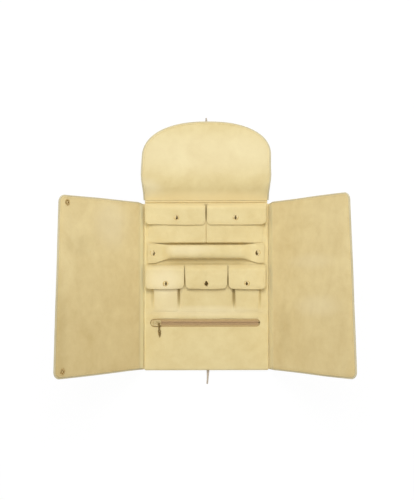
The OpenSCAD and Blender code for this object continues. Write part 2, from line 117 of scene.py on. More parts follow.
addCamera()
bpy.context.scene.view_settings.view_transform = "Standard"
areaLight("keyLight", view["keySpot"], (0, 0.03, 0), view["keySize"], view["keyPower"])
areaLight("fillLight", view["fillSpot"], (0, 0, 0), view["fillSize"], view["fillPower"])


# ---- shader writing
class Sock:
    def __init__(self, tree, plug):
        self.tree, self.plug = tree, plug

    def math(self, kind, first, second):
        return node(self.tree, "ShaderNodeMath", {"operation": kind}, {0: first, 1: second})

    def __add__(self, other):
        return self.math("ADD", self, other)

    __radd__ = __add__

    def __mul__(self, other):
        return self.math("MULTIPLY", self, other)

    __rmul__ = __mul__

    def __sub__(self, other):
        return self.math("SUBTRACT", self, other)

    def __rsub__(self, other):
        return self.math("SUBTRACT", other, self)

    def __truediv__(self, other):
        return self.math("DIVIDE", self, other)

    def __pow__(self, other):
        return self.math("POWER", self, other)


def node(tree, kind, settings=None, inputs=None, out=0):
    made = tree.nodes.new(kind)
    for key, value in (settings or {}).items():
        setattr(made, key, value)
    for key, value in (inputs or {}).items():
        if isinstance(value, Sock):
            tree.links.new(value.plug, made.inputs[key])
        else:
            made.inputs[key].default_value = value
    return Sock(tree, made.outputs[out]) if made.outputs else made


def spots(tree):
    return node(tree, "ShaderNodeTexCoord", out="Object")


def grain(tree, where, size, detail=3.0, rough=0.55, warp=0.0):
    return node(tree, "ShaderNodeTexNoise", {"noise_dimensions": "3D"},
                {"Vector": where, "Scale": 1 / size, "Detail": detail, "Roughness": rough,
                 "Distortion": warp})


def cells(tree, where, size, feature="DISTANCE_TO_EDGE"):
    return node(tree, "ShaderNodeTexVoronoi", {"feature": feature}, {"Vector": where, "Scale": 1 / size})


def ranged(tree, value, low, high, newLow=0.0, newHigh=1.0):
    return node(tree, "ShaderNodeMapRange", {"clamp": True},
                {"Value": value, "From Min": low, "From Max": high, "To Min": newLow, "To Max": newHigh})


def blendColor(tree, share, first, second, mode="MIX"):
    def full(color):
        return color if isinstance(color, Sock) else (*color, 1)
    return node(tree, "ShaderNodeMix", {"data_type": "RGBA", "blend_type": mode},
                {0: share, 6: full(first), 7: full(second)}, out=2)


def stretched(tree, where, scale):
    return node(tree, "ShaderNodeVectorMath", {"operation": "MULTIPLY"}, {0: where, 1: scale})


def bumped(tree, height, depth, strength=1.0, under=None):
    inputs = {"Height": height, "Distance": depth, "Strength": strength}
    if under is not None:
        inputs["Normal"] = under
    return node(tree, "ShaderNodeBump", {}, inputs)


def newMaterial(name):
    made = bpy.data.materials.new(name)
    made.use_nodes = True
    tree = made.node_tree
    tree.nodes.clear()
    return made, tree


def finishOff(tree, inputs):
    surface = node(tree, "ShaderNodeBsdfPrincipled", {}, inputs)
    node(tree, "ShaderNodeOutputMaterial", {}, {"Surface": surface})


def newFinish(name, write, tone, *facts):
    # write gives the shader's inputs for a light and a dark tone
    made, tree = newMaterial(name)
    finishOff(tree, write(tree, spots(tree), *tones[tone], *facts))
    return made


def linear(red, green, blue):
    def one(value):
        value = value / 255
        return value / 12.92 if value <= 0.04045 else ((value + 0.055) / 1.055) ** 2.4
    return one(red), one(green), one(blue)


# lays soft patches of painted light and painted shade over the suede's colour
def paintLightAndShade(tree, where, color, zones):
    for spot, size, wash, amount in zones:
        tone, mode = washes[wash]
        off = node(tree, "ShaderNodeVectorMath", {"operation": "SUBTRACT"},
                   {0: where, 1: tuple(place(*spot))})
        away = node(tree, "ShaderNodeVectorMath", {"operation": "LENGTH"},
                    {0: stretched(tree, off, tuple(1 / side for side in size))}, out="Value")
        share = node(tree, "ShaderNodeMapRange", {"interpolation_type": "SMOOTHSTEP"},
                     {"Value": away, "From Min": 0.25, "From Max": 1.0, "To Min": amount, "To Max": 0.0})
        color = blendColor(tree, share, color, tone, mode)
    return color


def suedeFinish(tree, where, light, dark, mottle, zones):
    wide = grain(tree, where, 0.045, 2.0, 0.5, 0.6)
    patch = grain(tree, where, 0.011, 3.0, 0.6, 0.3)
    nap = grain(tree, stretched(tree, where, (1.0, 0.45, 1.0)), 0.0011, 3.0, 0.65)
    fibre = grain(tree, where, 0.00028, 2.0, 0.6)
    share = (wide * 0.55 + patch * 0.3 + nap * 0.15 - 0.5) * (2.2 * mottle) + 0.5
    shade = ranged(tree, share, 0.0, 1.0)
    color = blendColor(tree, shade, dark, light)
    color = blendColor(tree, ranged(tree, fibre, 0.25, 0.75, 0.0, 0.16), color, (1.0, 0.96, 0.86),
                       "SOFT_LIGHT")
    color = paintLightAndShade(tree, where, color, zones)
    first = bumped(tree, nap, 0.00022, 0.55)
    return {
        "Base Color": color, "Roughness": ranged(tree, nap, 0.2, 0.8, 0.86, 0.98),
        "Specular IOR Level": 0.12, "Sheen Weight": 0.18, "Sheen Roughness": 0.6,
        "Sheen Tint": (1.0, 0.94, 0.80, 1.0), "Normal": bumped(tree, fibre, 0.00007, 0.6, first),
    }


def leatherFinish(tree, where, light, dark, gloss=0.5, pebble=0.0010):
    bent = node(tree, "ShaderNodeVectorMath", {"operation": "ADD"}, {
        0: where, 1: stretched(tree, node(tree, "ShaderNodeTexNoise", {}, {
            "Vector": where, "Scale": 900.0, "Detail": 1.0}, out="Color"), (0.0004, 0.0004, 0.0004))})
    edge = ranged(tree, cells(tree, bent, pebble), 0.0, 0.22)
    wide = grain(tree, where, 0.06, 3.0, 0.55, 0.4)
    pores = grain(tree, where, 0.0004, 2.0, 0.6)
    shade = ranged(tree, wide * 0.7 + edge * 0.3, 0.2, 0.8)
    color = blendColor(tree, shade, dark, light)
    first = bumped(tree, edge, 0.00013, 0.6)
    return {
        "Base Color": color,
        "Roughness": ranged(tree, edge * 0.6 + pores * 0.4, 0.1, 0.9, gloss + 0.18, gloss - 0.04),
        "Specular IOR Level": 0.45, "Normal": bumped(tree, pores, 0.00004, 0.4, first),
    }


def metalFinish(tree, where, light, dark, gloss):
    cloud = grain(tree, where, 0.0022, 3.0, 0.6)
    hair = grain(tree, stretched(tree, where, (1.0, 14.0, 1.0)), 0.0016, 2.0, 0.6)
    pits = ranged(tree, cells(tree, where, 0.0006, "F1"), 0.0, 0.25)
    color = blendColor(tree, ranged(tree, cloud, 0.35, 0.7), dark, light)
    return {
        "Base Color": color, "Metallic": 1.0,
        "Roughness": ranged(tree, cloud * 0.7 + hair * 0.3, 0.25, 0.75, gloss, gloss + 0.14),
        "Normal": bumped(tree, hair + pits * 0.3, 0.00001, 0.25),
    }


def wovenFinish(tree, where, light, dark, pitch=0.00055):
    parts = node(tree, "ShaderNodeSeparateXYZ", {}, {0: where})
    along = Sock(tree, parts.plug.node.outputs[0])
    across = Sock(tree, parts.plug.node.outputs[1])
    turn = 2 * math.pi / pitch
    first = node(tree, "ShaderNodeMath", {"operation": "SINE"}, {0: along * turn})
    second = node(tree, "ShaderNodeMath", {"operation": "SINE"}, {0: across * turn})
    weave = first * second * 0.5 + 0.5
    cloud = grain(tree, where, 0.004, 3.0, 0.6)
    fluff = grain(tree, where, 0.0003, 2.0, 0.6)
    color = blendColor(tree, ranged(tree, weave * 0.45 + cloud * 0.4 + fluff * 0.15, 0.15, 0.85), dark, light)
    return {
        "Base Color": color, "Roughness": ranged(tree, fluff, 0.2, 0.8, 0.78, 0.95),
        "Specular IOR Level": 0.2, "Normal": bumped(tree, weave * 0.7 + fluff * 0.3, 0.00012, 0.8),
    }


def threadFinish(tree, where, light, dark, pitch=0.0006):
    twist = node(tree, "ShaderNodeTexWave", {"wave_type": "BANDS", "bands_direction": "DIAGONAL"},
                 {"Vector": where, "Scale": 0.32 / pitch, "Distortion": 1.5, "Detail": 1.0}, out="Fac")
    fluff = grain(tree, where, 0.0004, 2.0, 0.6)
    return {
        "Base Color": blendColor(tree, ranged(tree, twist * 0.6 + fluff * 0.4, 0.1, 0.9), dark, light),
        "Roughness": ranged(tree, twist, 0.0, 1.0, 0.55, 0.75), "Specular IOR Level": 0.3,
        "Normal": bumped(tree, twist, 0.00008, 0.6),
    }


def boardFinish(tree, where, light, dark):
    pulp = grain(tree, where, 0.0009, 4.0, 0.7)
    strand = grain(tree, stretched(tree, where, (1.0, 6.0, 1.0)), 0.0008, 2.0, 0.6)
    return {
        "Base Color": blendColor(tree, ranged(tree, pulp * 0.6 + strand * 0.4, 0.3, 0.7), dark, light),
        "Roughness": ranged(tree, pulp, 0.2, 0.8, 0.82, 0.95), "Normal": bumped(tree, pulp, 0.0001, 0.5),
    }


def foamFinish(tree, where, light, dark):
    pores = ranged(tree, cells(tree, where, 0.0007, "F1"), 0.1, 0.6)
    cloud = grain(tree, where, 0.01, 2.0, 0.6)
    return {
        "Base Color": blendColor(tree, pores * 0.7 + cloud * 0.3, dark, light),
        "Roughness": ranged(tree, pores, 0.0, 1.0, 0.98, 0.85), "Normal": bumped(tree, pores, 0.0003, 0.7),
    }


def backdropRay(tree):
    seen = node(tree, "ShaderNodeLightPath", out="Is Camera Ray")
    mirrored = node(tree, "ShaderNodeLightPath", out="Is Glossy Ray")
    return node(tree, "ShaderNodeMath", {"operation": "MAXIMUM"}, {0: seen, 1: mirrored})


def floorFinish(name):
    made, tree = newMaterial(name)
    where = spots(tree)
    cloud = grain(tree, where, 0.4, 2.0, 0.5)
    base = node(tree, "ShaderNodeBsdfPrincipled", {}, {
        "Base Color": blendColor(tree, cloud, (0.93, 0.93, 0.93), (0.95, 0.95, 0.95)),
        "Roughness": 0.9, "Specular IOR Level": 0.1})
    glow = node(tree, "ShaderNodeEmission", {}, {"Color": (1, 1, 1, 1), "Strength": 1.02})
    mixed = node(tree, "ShaderNodeMixShader", {}, {0: backdropRay(tree) * 0.94, 1: base, 2: glow})
    node(tree, "ShaderNodeOutputMaterial", {}, {"Surface": mixed})
    return made


def makeWorld():
    world = bpy.data.worlds.new("studio")
    bpy.context.scene.world = world
    world.use_nodes = True
    tree = world.node_tree
    tree.nodes.clear()
    seen = backdropRay(tree)
    sky = node(tree, "ShaderNodeBackground", {}, {
        "Color": (1, 1, 1, 1), "Strength": seen * (1 - view["sky"]) + view["sky"]})
    node(tree, "ShaderNodeOutputWorld", {}, {"Surface": sky})


makeWorld()
# light and dark side of each finish
tones = {name: [linear(*color) for color in pair] for name, pair in {
    "suede": ((234, 218, 167), (212, 190, 134)),
    "leaf": ((240, 221, 167), (216, 192, 135)),
    "leather": ((222, 211, 174), (197, 183, 142)),
    "brass": ((246, 228, 178), (222, 196, 136)),
    "satin": ((196, 172, 118), (130, 104, 60)),
    "soft": ((250, 236, 188), (226, 200, 140)),
    "aged": ((224, 200, 144), (168, 138, 84)),
    "tape": ((212, 186, 136), (172, 146, 100)),
    "coil": ((214, 182, 142), (174, 142, 106)),
    "thread": ((240, 224, 178), (206, 184, 132)),
    "lace": ((214, 200, 184), (168, 156, 138)),
    "board": ((170, 158, 138), (126, 112, 92)),
    "foam": ((238, 232, 214), (196, 186, 160)),
}.items()}
# patches of painted light (pale, warm, bright) mixed into the suede's colour, and painted shade multiplied
# into it
washes = {
    "paleNap": (linear(250, 239, 204), "MIX"), "warmNap": (linear(250, 230, 176), "MIX"),
    "litNap": (linear(255, 246, 198), "MIX"), "shade": ((0.42, 0.36, 0.24), "MULTIPLY"),
    "softShade": ((0.70, 0.66, 0.56), "MULTIPLY"), "wornLow": ((0.86, 0.82, 0.74), "MULTIPLY"),
}

# soft patches of painted light and painted shade: middle, half size, wash and amount
liningZones = [
    ((0, 0.200, 0.03), (0.24, 0.050, 0.09), "paleNap", 0.26),
    ((-0.088, 0.146, 0.015), (0.030, 0.022, 0.03), "paleNap", 0.35),
    ((-0.0925, -0.020, 0.006), (0.0032, 0.13, 0.009), "litNap", 0.35),
    ((0.0935, -0.020, 0.006), (0.0030, 0.13, 0.009), "litNap", 0.2),
    ((-0.032, 0.054, 0.0170), (0.062, 0.012, 0.008), "paleNap", 0.32),
    ((0, 0.1230, 0.009), (0.11, 0.0048, 0.008), "shade", 0.5),
    ((0, 0.129, 0.010), (0.20, 0.018, 0.03), "warmNap", 0.55),
    ((0, 0.150, 0.020), (0.20, 0.016, 0.03), "softShade", 0.05),
    ((0, 0.0336, 0.0078), (0.094, 0.0018, 0.0040), "shade", 0.30),
    ((-0.062, 0.010, 0.0125), (0.042, 0.034, 0.0090), "paleNap", 0.5),
    ((0, -0.037, 0.0072), (0.110, 0.012, 0.0030), "paleNap", 0.35),
    ((-0.060, -0.020, 0.011), (0.032, 0.036, 0.009), "paleNap", 0.25),
    ((0, 0.1105, 0.0100), (0.0058, 0.0195, 0.0058), "shade", 1.0),
    ((-0.0325, 0.013, 0.0105), (0.0036, 0.0215, 0.0050), "shade", 1.0),
    ((0.0325, 0.013, 0.0105), (0.0036, 0.0215, 0.0050), "shade", 1.0),
    ((-0.0409, -0.014, 0.0088), (0.0026, 0.025, 0.0045), "shade", 1.0),
    ((0.0412, -0.014, 0.0088), (0.0034, 0.025, 0.0045), "shade", 1.0),
    ((-0.0805, -0.014, 0.0088), (0.0040, 0.024, 0.0045), "softShade", 0.6),
    ((0.0806, -0.014, 0.0088), (0.0024, 0.024, 0.0045), "shade", 0.5),
    ((0, 0.0634, 0.0072), (0.082, 0.0030, 0.0030), "shade", 0.10),
    ((0, 0.0360, 0.0072), (0.090, 0.0075, 0.0040), "softShade", 0.5),
]
# soft patches of painted light and painted shade on the wings: middle, half size, wash and amount
leafZones = [
    ((-0.0948, 0, 0.013), (0.0066, 9.0, 0.030), "litNap", 1.0),
    ((0.0948, 0, 0.012), (0.0060, 9.0, 0.030), "litNap", 0.6),
    ((-0.137, 0.089, 0.07), (0.035, 0.050, 0.08), "paleNap", 0.3),
    ((-0.180, 0.057, 0.10), (0.035, 0.022, 0.10), "softShade", 0.25),
    ((0.159, -0.028, 0.09), (0.042, 0.022, 0.10), "paleNap", 0.25),
    ((0.149, 0.035, 0.09), (0.045, 0.016, 0.10), "paleNap", 0.2),
    ((0.115, -0.063, 0.045), (0.013, 0.055, 0.06), "softShade", 0.22),
    ((-0.2015, -0.055, 0.12), (0.017, 0.15, 0.2), "softShade", 0.45),
    # painted shade: both wings darker towards their bottom
    ((-0.16, -0.20, 0.08), (0.30, 0.26, 0.4), "wornLow", 0.8),
    ((0.17, -0.20, 0.08), (0.30, 0.24, 0.4), "wornLow", 0.4),
]
suede = newFinish("suedeLining", suedeFinish, "suede", 0.8, liningZones)
leafSuede = newFinish("suedeLeaf", suedeFinish, "leaf", 0.9, leafZones)
leather = newFinish("outerLeather", leatherFinish, "leather")
laceLeather = newFinish("laceLeather", leatherFinish, "lace", 0.5, 0.0006)
brass = newFinish("polishedBrass", metalFinish, "brass", 0.08)
softBrass = newFinish("softBrass", metalFinish, "soft", 0.42)
agedBrass = newFinish("agedBrass", metalFinish, "aged", 0.24)
satinBrass = newFinish("satinBrass", metalFinish, "satin", 0.26)
tape = newFinish("zipTape", wovenFinish, "tape")
coilNylon = newFinish("zipCoil", threadFinish, "coil", 0.0009)
thread = newFinish("sewingThread", threadFinish, "thread")
board = newFinish("greyBoard", boardFinish, "board")
foam = newFinish("paddingFoam", foamFinish, "foam")
print("finishes made")


# ---- mesh helpers, all in the panel's own coordinates until a piece is made
def ease(value):
    value = np.clip(value, 0.0, 1.0)
    return value * value * (3 - 2 * value)


def rim(distance, radius):
    left = 1 - np.clip(distance / radius, 0.0, 1.0)
    return np.sqrt(np.clip(1 - left * left, 0.0, 1.0))


def ripple(x, y, seed, size, parts=6):
    source = np.random.RandomState(seed)
    total = 0.0
    for _ in range(parts):
        turn = source.uniform(0, 2 * math.pi)
        wave = 2 * math.pi / size * source.uniform(0.55, 1.5)
        begin = source.uniform(0, 2 * math.pi)
        total = total + np.sin(wave * (x * math.cos(turn) + y * math.sin(turn)) + begin)
    return total / parts


def waves(x, y, seed, sizes):
    return sum(rise * ripple(x, y, seed + number, size) for number, (rise, size) in enumerate(sizes))


def hill(x, y, cx, cy, wide, tall):
    return np.exp(-((x - cx) / wide) ** 2 - ((y - cy) / tall) ** 2)


def cornerCut(corner, short):
    return corner - math.sqrt(max(corner ** 2 - short ** 2, 0))


def roundedPath(box, corner, turns, sideCount, lowCount):
    # down the left side, along the bottom and up the right side
    left, right, bottom, top = box
    path = [(left, y) for y in np.linspace(top, bottom + corner, sideCount)]
    path += [(left + corner - corner * math.cos(a), bottom + corner - corner * math.sin(a)) for a in turns]
    path += [(x, bottom) for x in np.linspace(left + corner, right - corner, lowCount)]
    path += [(right - corner + corner * math.sin(a), bottom + corner - corner * math.cos(a)) for a in turns]
    path += [(right, y) for y in np.linspace(bottom + corner, top, sideCount)]
    return np.array(path)


def spread(total, edges, count):
    near = np.asarray(edges) * min(1.0, 0.49 * total / edges[-1])
    inner = np.linspace(near[-1], total - near[-1], count)[1:-1]
    return np.concatenate([near, inner, (total - near)[::-1]])


def edgeDistance(grid, sides=("low", "high", "left", "right")):
    lines = {"low": grid[0], "high": grid[-1], "left": grid[:, 0], "right": grid[:, -1]}
    spotsHere = grid.reshape(-1, 1, 2)
    best = np.full(grid.shape[0] * grid.shape[1], 9.0)
    for side in sides:
        start, stop = lines[side][:-1][None], lines[side][1:][None]
        step = stop - start
        span = np.maximum((step ** 2).sum(-1), 1e-14)
        share = np.clip(((spotsHere - start) * step).sum(-1) / span, 0, 1)
        away = spotsHere - start - share[..., None] * step
        best = np.minimum(best, np.sqrt((away ** 2).sum(-1)).min(1))
    return best.reshape(grid.shape[:2])


def skin(outer, inner):
    rows, columns = outer.shape[:2]
    base = rows * columns
    points = np.concatenate([outer.reshape(-1, 3), inner.reshape(-1, 3)])
    faces = []
    for i in range(rows - 1):
        for j in range(columns - 1):
            a = i * columns + j
            faces.append((a, a + 1, a + columns + 1, a + columns))
            faces.append((base + a, base + a + columns, base + a + columns + 1, base + a + 1))
    ring = list(range(columns))
    ring += [i * columns + columns - 1 for i in range(1, rows)]
    ring += [(rows - 1) * columns + j for j in range(columns - 2, -1, -1)]
    ring += [i * columns for i in range(rows - 2, 0, -1)]
    for a, b in zip(ring, ring[1:] + ring[:1]):
        faces.append((a, base + a, base + b, b))
    return points, faces


def faceSkin(x, y, top, under):
    return skin(np.stack([x, y, top], -1), np.stack([x, y, under], -1))


def tube(rings, closed=False):
    rings = np.asarray(rings)
    count, around = rings.shape[:2]
    faces = []
    for i in range(count if closed else count - 1):
        for j in range(around):
            a, b = i * around + j, i * around + (j + 1) % around
            c = ((i + 1) % count) * around
            faces.append((a, b, c + (j + 1) % around, c + j))
    if not closed:
        faces.append(tuple(range(around))[::-1])
        faces.append(tuple((count - 1) * around + j for j in range(around)))
    return rings.reshape(-1, 3), faces


def joined(parts):
    points, faces, base = [], [], 0
    for somePoints, someFaces in parts:
        somePoints = np.asarray(somePoints)
        points.append(somePoints)
        faces += [tuple(base + k for k in face) for face in someFaces]
        base += len(somePoints)
    return np.concatenate(points), faces


def lathe(profile, spot=(0, 0, 0), around=40):
    turns = fullTurn(around)
    points, faces = [], []
    for radius, height in profile:
        ring = np.stack([radius * np.cos(turns), radius * np.sin(turns), np.full(around, height)], axis=1)
        points.append(ring + np.array(spot))
    for i in range(len(profile) - 1):
        for j in range(around):
            k = (j + 1) % around
            faces.append((i * around + j, i * around + k, (i + 1) * around + k, (i + 1) * around + j))
    return np.concatenate(points), faces


def makePiece(name, mesh, body, finish, hides=(), sharp=50):
    points, faces = mesh
    data = bpy.data.meshes.new(name)
    data.from_pydata([tuple(point) for point in np.asarray(points) + np.array(middle)], [], faces)
    work = bmesh.new()
    work.from_mesh(data)
    bmesh.ops.remove_doubles(work, verts=work.verts, dist=2e-6)
    bmesh.ops.recalc_face_normals(work, faces=work.faces)
    work.to_mesh(data)
    work.free()
    for face in data.polygons:
        face.use_smooth = True
    data.set_sharp_from_angle(angle=math.radians(sharp))
    piece = bpy.data.objects.new(name, data)
    bpy.context.scene.collection.objects.link(piece)
    data.materials.append(finish)
    if hides:
        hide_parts(*hides)
    if isinstance(body, str):
        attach(piece, body)
    else:
        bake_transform(piece)
    return piece


def suedePiece(name, mesh, hides=(), body="panel"):
    return makePiece(name, mesh, body, suede, hides)


def threadPiece(name, mesh, body="panel"):
    makePiece(name, mesh, body, thread)


def brassPiece(name, mesh, body, hides, finish=None, sharp=50):
    makePiece(name, mesh, body, finish or brass, hides, sharp)


# each stitch dips at both ends: share of its length, lift and size there
stitch = {
    "pitch": 0.0031, "length": 0.0022, "radius": 0.00024, "sides": 5, "first": 0.0004,
    "shape": ((0, -0.00016, 0.55), (0.2, 0.00008, 1.0), (0.8, 0.00008, 1.0), (1, -0.00016, 0.55)),
}


def stitchRun(path, normals):
    path, normals = np.asarray(path), np.asarray(normals)
    gaps = np.linalg.norm(np.diff(path, axis=0), axis=1)
    travelled = np.concatenate([[0], np.cumsum(gaps)])

    def at(length):
        return (np.array([np.interp(length, travelled, path[:, k]) for k in range(3)]),
                np.array([np.interp(length, travelled, normals[:, k]) for k in range(3)]))
    parts = []
    for number in range(int(travelled[-1] / stitch["pitch"])):
        start = number * stitch["pitch"] + stitch["first"]
        rings = []
        for share, lift, size in stitch["shape"]:
            spot, normal = at(start + share * stitch["length"])
            ahead = at(start + share * stitch["length"] + 0.0002)[0] - spot
            normal = normal / np.linalg.norm(normal)
            side = np.cross(normal, ahead)
            side = side / max(np.linalg.norm(side), 1e-12)
            turns = fullTurn(stitch["sides"])
            rings.append([spot + normal * lift + stitch["radius"] * size * (
                math.cos(turn) * side + 0.8 * math.sin(turn) * normal) for turn in turns])
        parts.append(tube(rings))
    return joined(parts)


# ---- lace: a flat tie sewn to the flap's tip, round the outside and out under the bottom edge
def courseOf(height, tilt, leafTilt, radius, length, way, bow=None):
    reach = radius * math.tan(abs(math.radians(tilt - leafTilt)) / 2)
    steps = np.linspace(0, height + length + 0.012, 1600)
    share = np.clip((steps - (height - reach)) / (2 * reach), 0, 1)
    angle = np.radians(tilt + (leafTilt - tilt) * share)
    if bow:
        angle = angle + bow(steps - height)
    bend = abs(math.radians(tilt - leafTilt)) * radius / (2 * reach)
    speed = np.where((share > 0) & (share < 1), bend, 1.0)
    moved = np.diff(steps) * speed[:-1]
    out = np.concatenate([[0], np.cumsum(moved * np.cos(angle[:-1]))])
    up = np.concatenate([[0], np.cumsum(moved * np.sin(angle[:-1]))])

    def at(s, side, lift):
        turn = np.interp(s, steps, angle)
        u = np.interp(s, steps, out) - lift * np.sin(turn)
        w = np.interp(s, steps, up) + lift * np.cos(turn) + case["foldHeight"]
        side = np.broadcast_to(side, np.shape(u))
        if way == "top":
            return np.stack([side, topFold + u, w], axis=-1)
        return np.stack([(sideFold + u) * (-1 if way == "left" else 1), side, w], axis=-1)
    return at


def onCourse(at, s, lift=0.0):
    return tuple(place(*at(np.array(s), 0, lift)))


flap = {
    "widths": ([0, 0.014, 0.030, 0.036, 0.044, 0.056, 0.070],
               [0.0938, 0.0941, 0.0958, 0.0967, 0.0972, 0.0968, 0.0965]),
    "bend": 0.036, "lowStart": 0.14, "bowed": 0.085, "blend": 0.007, "border": 0.0024, "short": 0.0013,
    "aside": 0.0018, "asideFrom": 0.050, "asideOver": 0.06, "across": 64, "stitchInset": 0.0044,
    "groove": (0.0020, 0.00034, 0.0011, 0.00030), "seed": 41, "waves": ((0.0005, 0.08), (0.00010, 0.018)),
    "sideDrop": 0.0010,
    # dense rows: way before and past the fold, and past the start of the arch
    "rowsBefore": 0.007, "rowsPast": 0.009, "rowGap": 0.0008,
}


def flapBow(s):
    inside = np.clip(s / case["flapLength"], 0, 1)
    early = -flap["lowStart"] * (1 - ease((s + case["topSpine"]) / 0.020))
    return flap["bowed"] * np.cos(math.pi * inside) * ease(s / 0.012) + early


flapAt = courseOf(case["topSpine"], case["topTilt"], -case["flapFall"], flap["bend"], case["flapLength"],
                  "top", flapBow)
lace = {
    "x": 0.0005, "lift": -0.0023, "z": 0.0007, "foldLift": -0.0016,
    # half of the blend across the flap's fold, then the start and the end of the blend to the panel
    "reach": 0.006, "blendFrom": 0.009, "blendTo": (0, 0.1235, 0.0015),
    # under the case, from the spine's fold down to the case's lower edge
    "down": [(0.0005, 0.1309, 0.0030), (0.0005, 0.1292, 0.0015), (0.0005, 0.1268, 0.0008)],
    "flat": [(0.0005, 0.121), (0.0005, 0.1), (0.0002, 0.075), (0, 0.05), (0.0002, 0.025), (0.0005, 0),
             (0.0010, -0.02), (0.0015, -0.04), (0.0020, -0.065), (0.0024, -0.09), (0.0024, -0.11),
             (0.0023, -0.125)],
    "out": [(0.0021, -0.130, 0.0013), (0.0019, -0.135, 0.0018), (0.0016, -0.140, 0.0021),
            (0.0013, -0.1425, 0.0021), (0.0011, -0.1455, 0.0017)],
    "outTilts": [14, 34, 46, 52, 48, 38], "outWidths": [0.0043, 0.0040, 0.0038, 0.0036, 0.0034, 0.0026],
    # past the flap's tip: way beyond it, lift, tilt and width
    "tip": [(-0.004, -0.0001, 0, 0.0045), (-0.002, -0.0001, 0, 0.0045), (0.0, 0.0, 12, 0.0042),
            (0.0015, 0.0003, 30, 0.0036), (0.003, 0.0006, 44, 0.0032), (0.0045, 0.0008, 50, 0.003),
            (0.0058, 0.0009, 50, 0.0026)],
}


def laceTube(path, tilts, widths):
    path = np.asarray(path)
    rings = []
    for number, spot in enumerate(path):
        ahead = path[min(number + 1, len(path) - 1)] - path[max(number - 1, 0)]
        ahead = ahead / np.linalg.norm(ahead)
        side = np.cross(ahead, (0, 0, 1.0))
        side = side / np.linalg.norm(side)
        upward = np.cross(side, ahead)
        tilt = math.radians(tilts[number])
        flatWay = side * math.cos(tilt) + upward * math.sin(tilt)
        thickWay = -side * math.sin(tilt) + upward * math.cos(tilt)
        ring = []
        for turn in fullTurn(14):
            c, s = math.cos(turn), math.sin(turn)
            ring.append(spot + flatWay * math.copysign(abs(c) ** 0.45, c) * widths[number] / 2
                        + thickWay * math.copysign(abs(s) ** 0.8, s) * case["laceThick"] / 2)
        rings.append(ring)
    return tube(rings)


def layLace(name, points, tilts, widths, bodies, nodeName):
    piece = makePiece(name, laceTube(points, tilts, widths), bodies, laceLeather, (nodeName,))
    tuple(place(*points[0]))
    [tuple(place(*spot)) for spot in points]


def makeLace():
    wide, root = case["laceWidth"], case["topSpine"]
    tip = root + case["flapLength"] - flap["short"]
    lengths = np.concatenate([np.linspace(tip - 0.0005, root + 0.004, 24), np.linspace(root, root / 2, 6)])
    side = lace["x"] + 0.0006 * np.sin(lengths * 60)
    points = flapAt(lengths, side, lace["lift"])
    layLace("laceFlap", points, [0] * len(points), [wide] * len(points),
            ("top_flap", "top_spine", onCourse(flapAt, root + lace["reach"], lace["foldLift"]),
             onCourse(flapAt, root - lace["reach"], lace["foldLift"])), "lace_flap")
    lengths = np.array([root / 2, 0.012, 0.009, 0.006])
    start = flapAt(lengths, side[-1] + lengths * 0, lace["lift"])
    flat = [(x, y, lace["z"]) for x, y in lace["flat"]]
    points = np.concatenate([start, np.array(lace["down"] + flat + lace["out"])])
    even = len(points) - len(lace["outTilts"])
    layLace("laceUnder", points, [0] * even + lace["outTilts"], [wide] * even + lace["outWidths"],
            ("top_spine", "panel", onCourse(flapAt, lace["blendFrom"], lace["foldLift"]),
             tuple(place(*lace["blendTo"]))), "lace_long")
    points = [flapAt(np.array(tip + ahead), lace["x"], lace["lift"] + up) for ahead, up, _, _ in lace["tip"]]
    tab = laceTube(points, [part[2] for part in lace["tip"]], [part[3] for part in lace["tip"]])
    makePiece("laceTip", tab, "top_flap", laceLeather, ("lace_tab",))


makeLace()
print("lace made")


# ---- leaves: leather outside, suede inside, each running over its fold
leaf = {
    "start": 0.0023, "leatherLow": -0.0016, "leatherHigh": 0.0008, "suedeLow": 0.0007, "suedeHigh": 0.0016,
    "rimLeather": 0.0009, "rimSuede": 0.0006, "border": 0.0023, "bend": 0.006, "blend": 0.006,
    "edges": [0, 0.00012, 0.0004, 0.0009, 0.0016, 0.0024, 0.0030, 0.0036, 0.0046, 0.0065, 0.010],
    "startSteps": [0, 0.0001, 0.0004, 0.0009, 0.0016, 0.0026, 0.0045], "across": 56,
    "twist": 1.0, "curl": 0.20, "curlFrom": 0.140, "stitchInset": 0.0041, "stitchFrom": 0.003,
    "groove": (0.0018, 0.00022, 0.0008, 0.00016), "waves": ((0.00055, 0.09), (0.00012, 0.02)),
    # dents: height, way past the fold, place along it, half widths, and whether it dies out at the fold
    "right": {"seed": 23, "raised": (0.0008, 0.0003), "flare": (0.0065, 0.0185, 0.8), "lean": 0.016,
              "skew": 0.0028, "bow": 0.0020,
              "dents": ((-0.0007, 0.010, 0.018, 0.007, 0.022, False),
                        (0.0006, 0.030, -0.07, 0.012, 0.05, True))},
    "left": {"seed": 11, "raised": (0.0010, -0.0007), "flare": (0.0, 0.0105, 0.6), "lean": 0.0,
             "skew": 0.0020, "bow": 0.0014,
             "dents": ((0.00045, 0.040, 0.085, 0.004, 0.05, True),
                       (-0.0006, 0.014, -0.004, 0.006, 0.016, False))},
}


def wingGive(way, height):
    own = leaf[way]
    twist = math.tan(math.radians(leaf["twist"]))
    half = case["leafLength"] / 2

    def give(s, y):
        out = np.clip(s - height, 0, 1)
        lift = out * twist * y / half
        calm = ease(out / 0.03)
        lift = lift + calm * waves(s, y, own["seed"], leaf["waves"])
        for rise, past, along, wide, tall, calmed in own["dents"]:
            lift = lift + rise * hill(s, y, height + past, along, wide, tall) * (calm if calmed else 1.0)
        reach = out / case["wingWidth"]
        first, more, over = own["flare"]
        near = ease(s / height)
        # each leaf bows outwards a little, so that the closed leaves lie over the bar and each other
        lift = lift - own["bow"] * ease(reach / 0.5) * (1 - (2 * np.clip(reach, 0, 1) - 1) ** 4)
        shift = y * (first * near + more * ease(reach / over))
        shift = shift + (own["raised"][0] * (1 - reach) + own["raised"][1] * reach) * near
        return lift, shift, -own["skew"] * reach * y / half
    return give


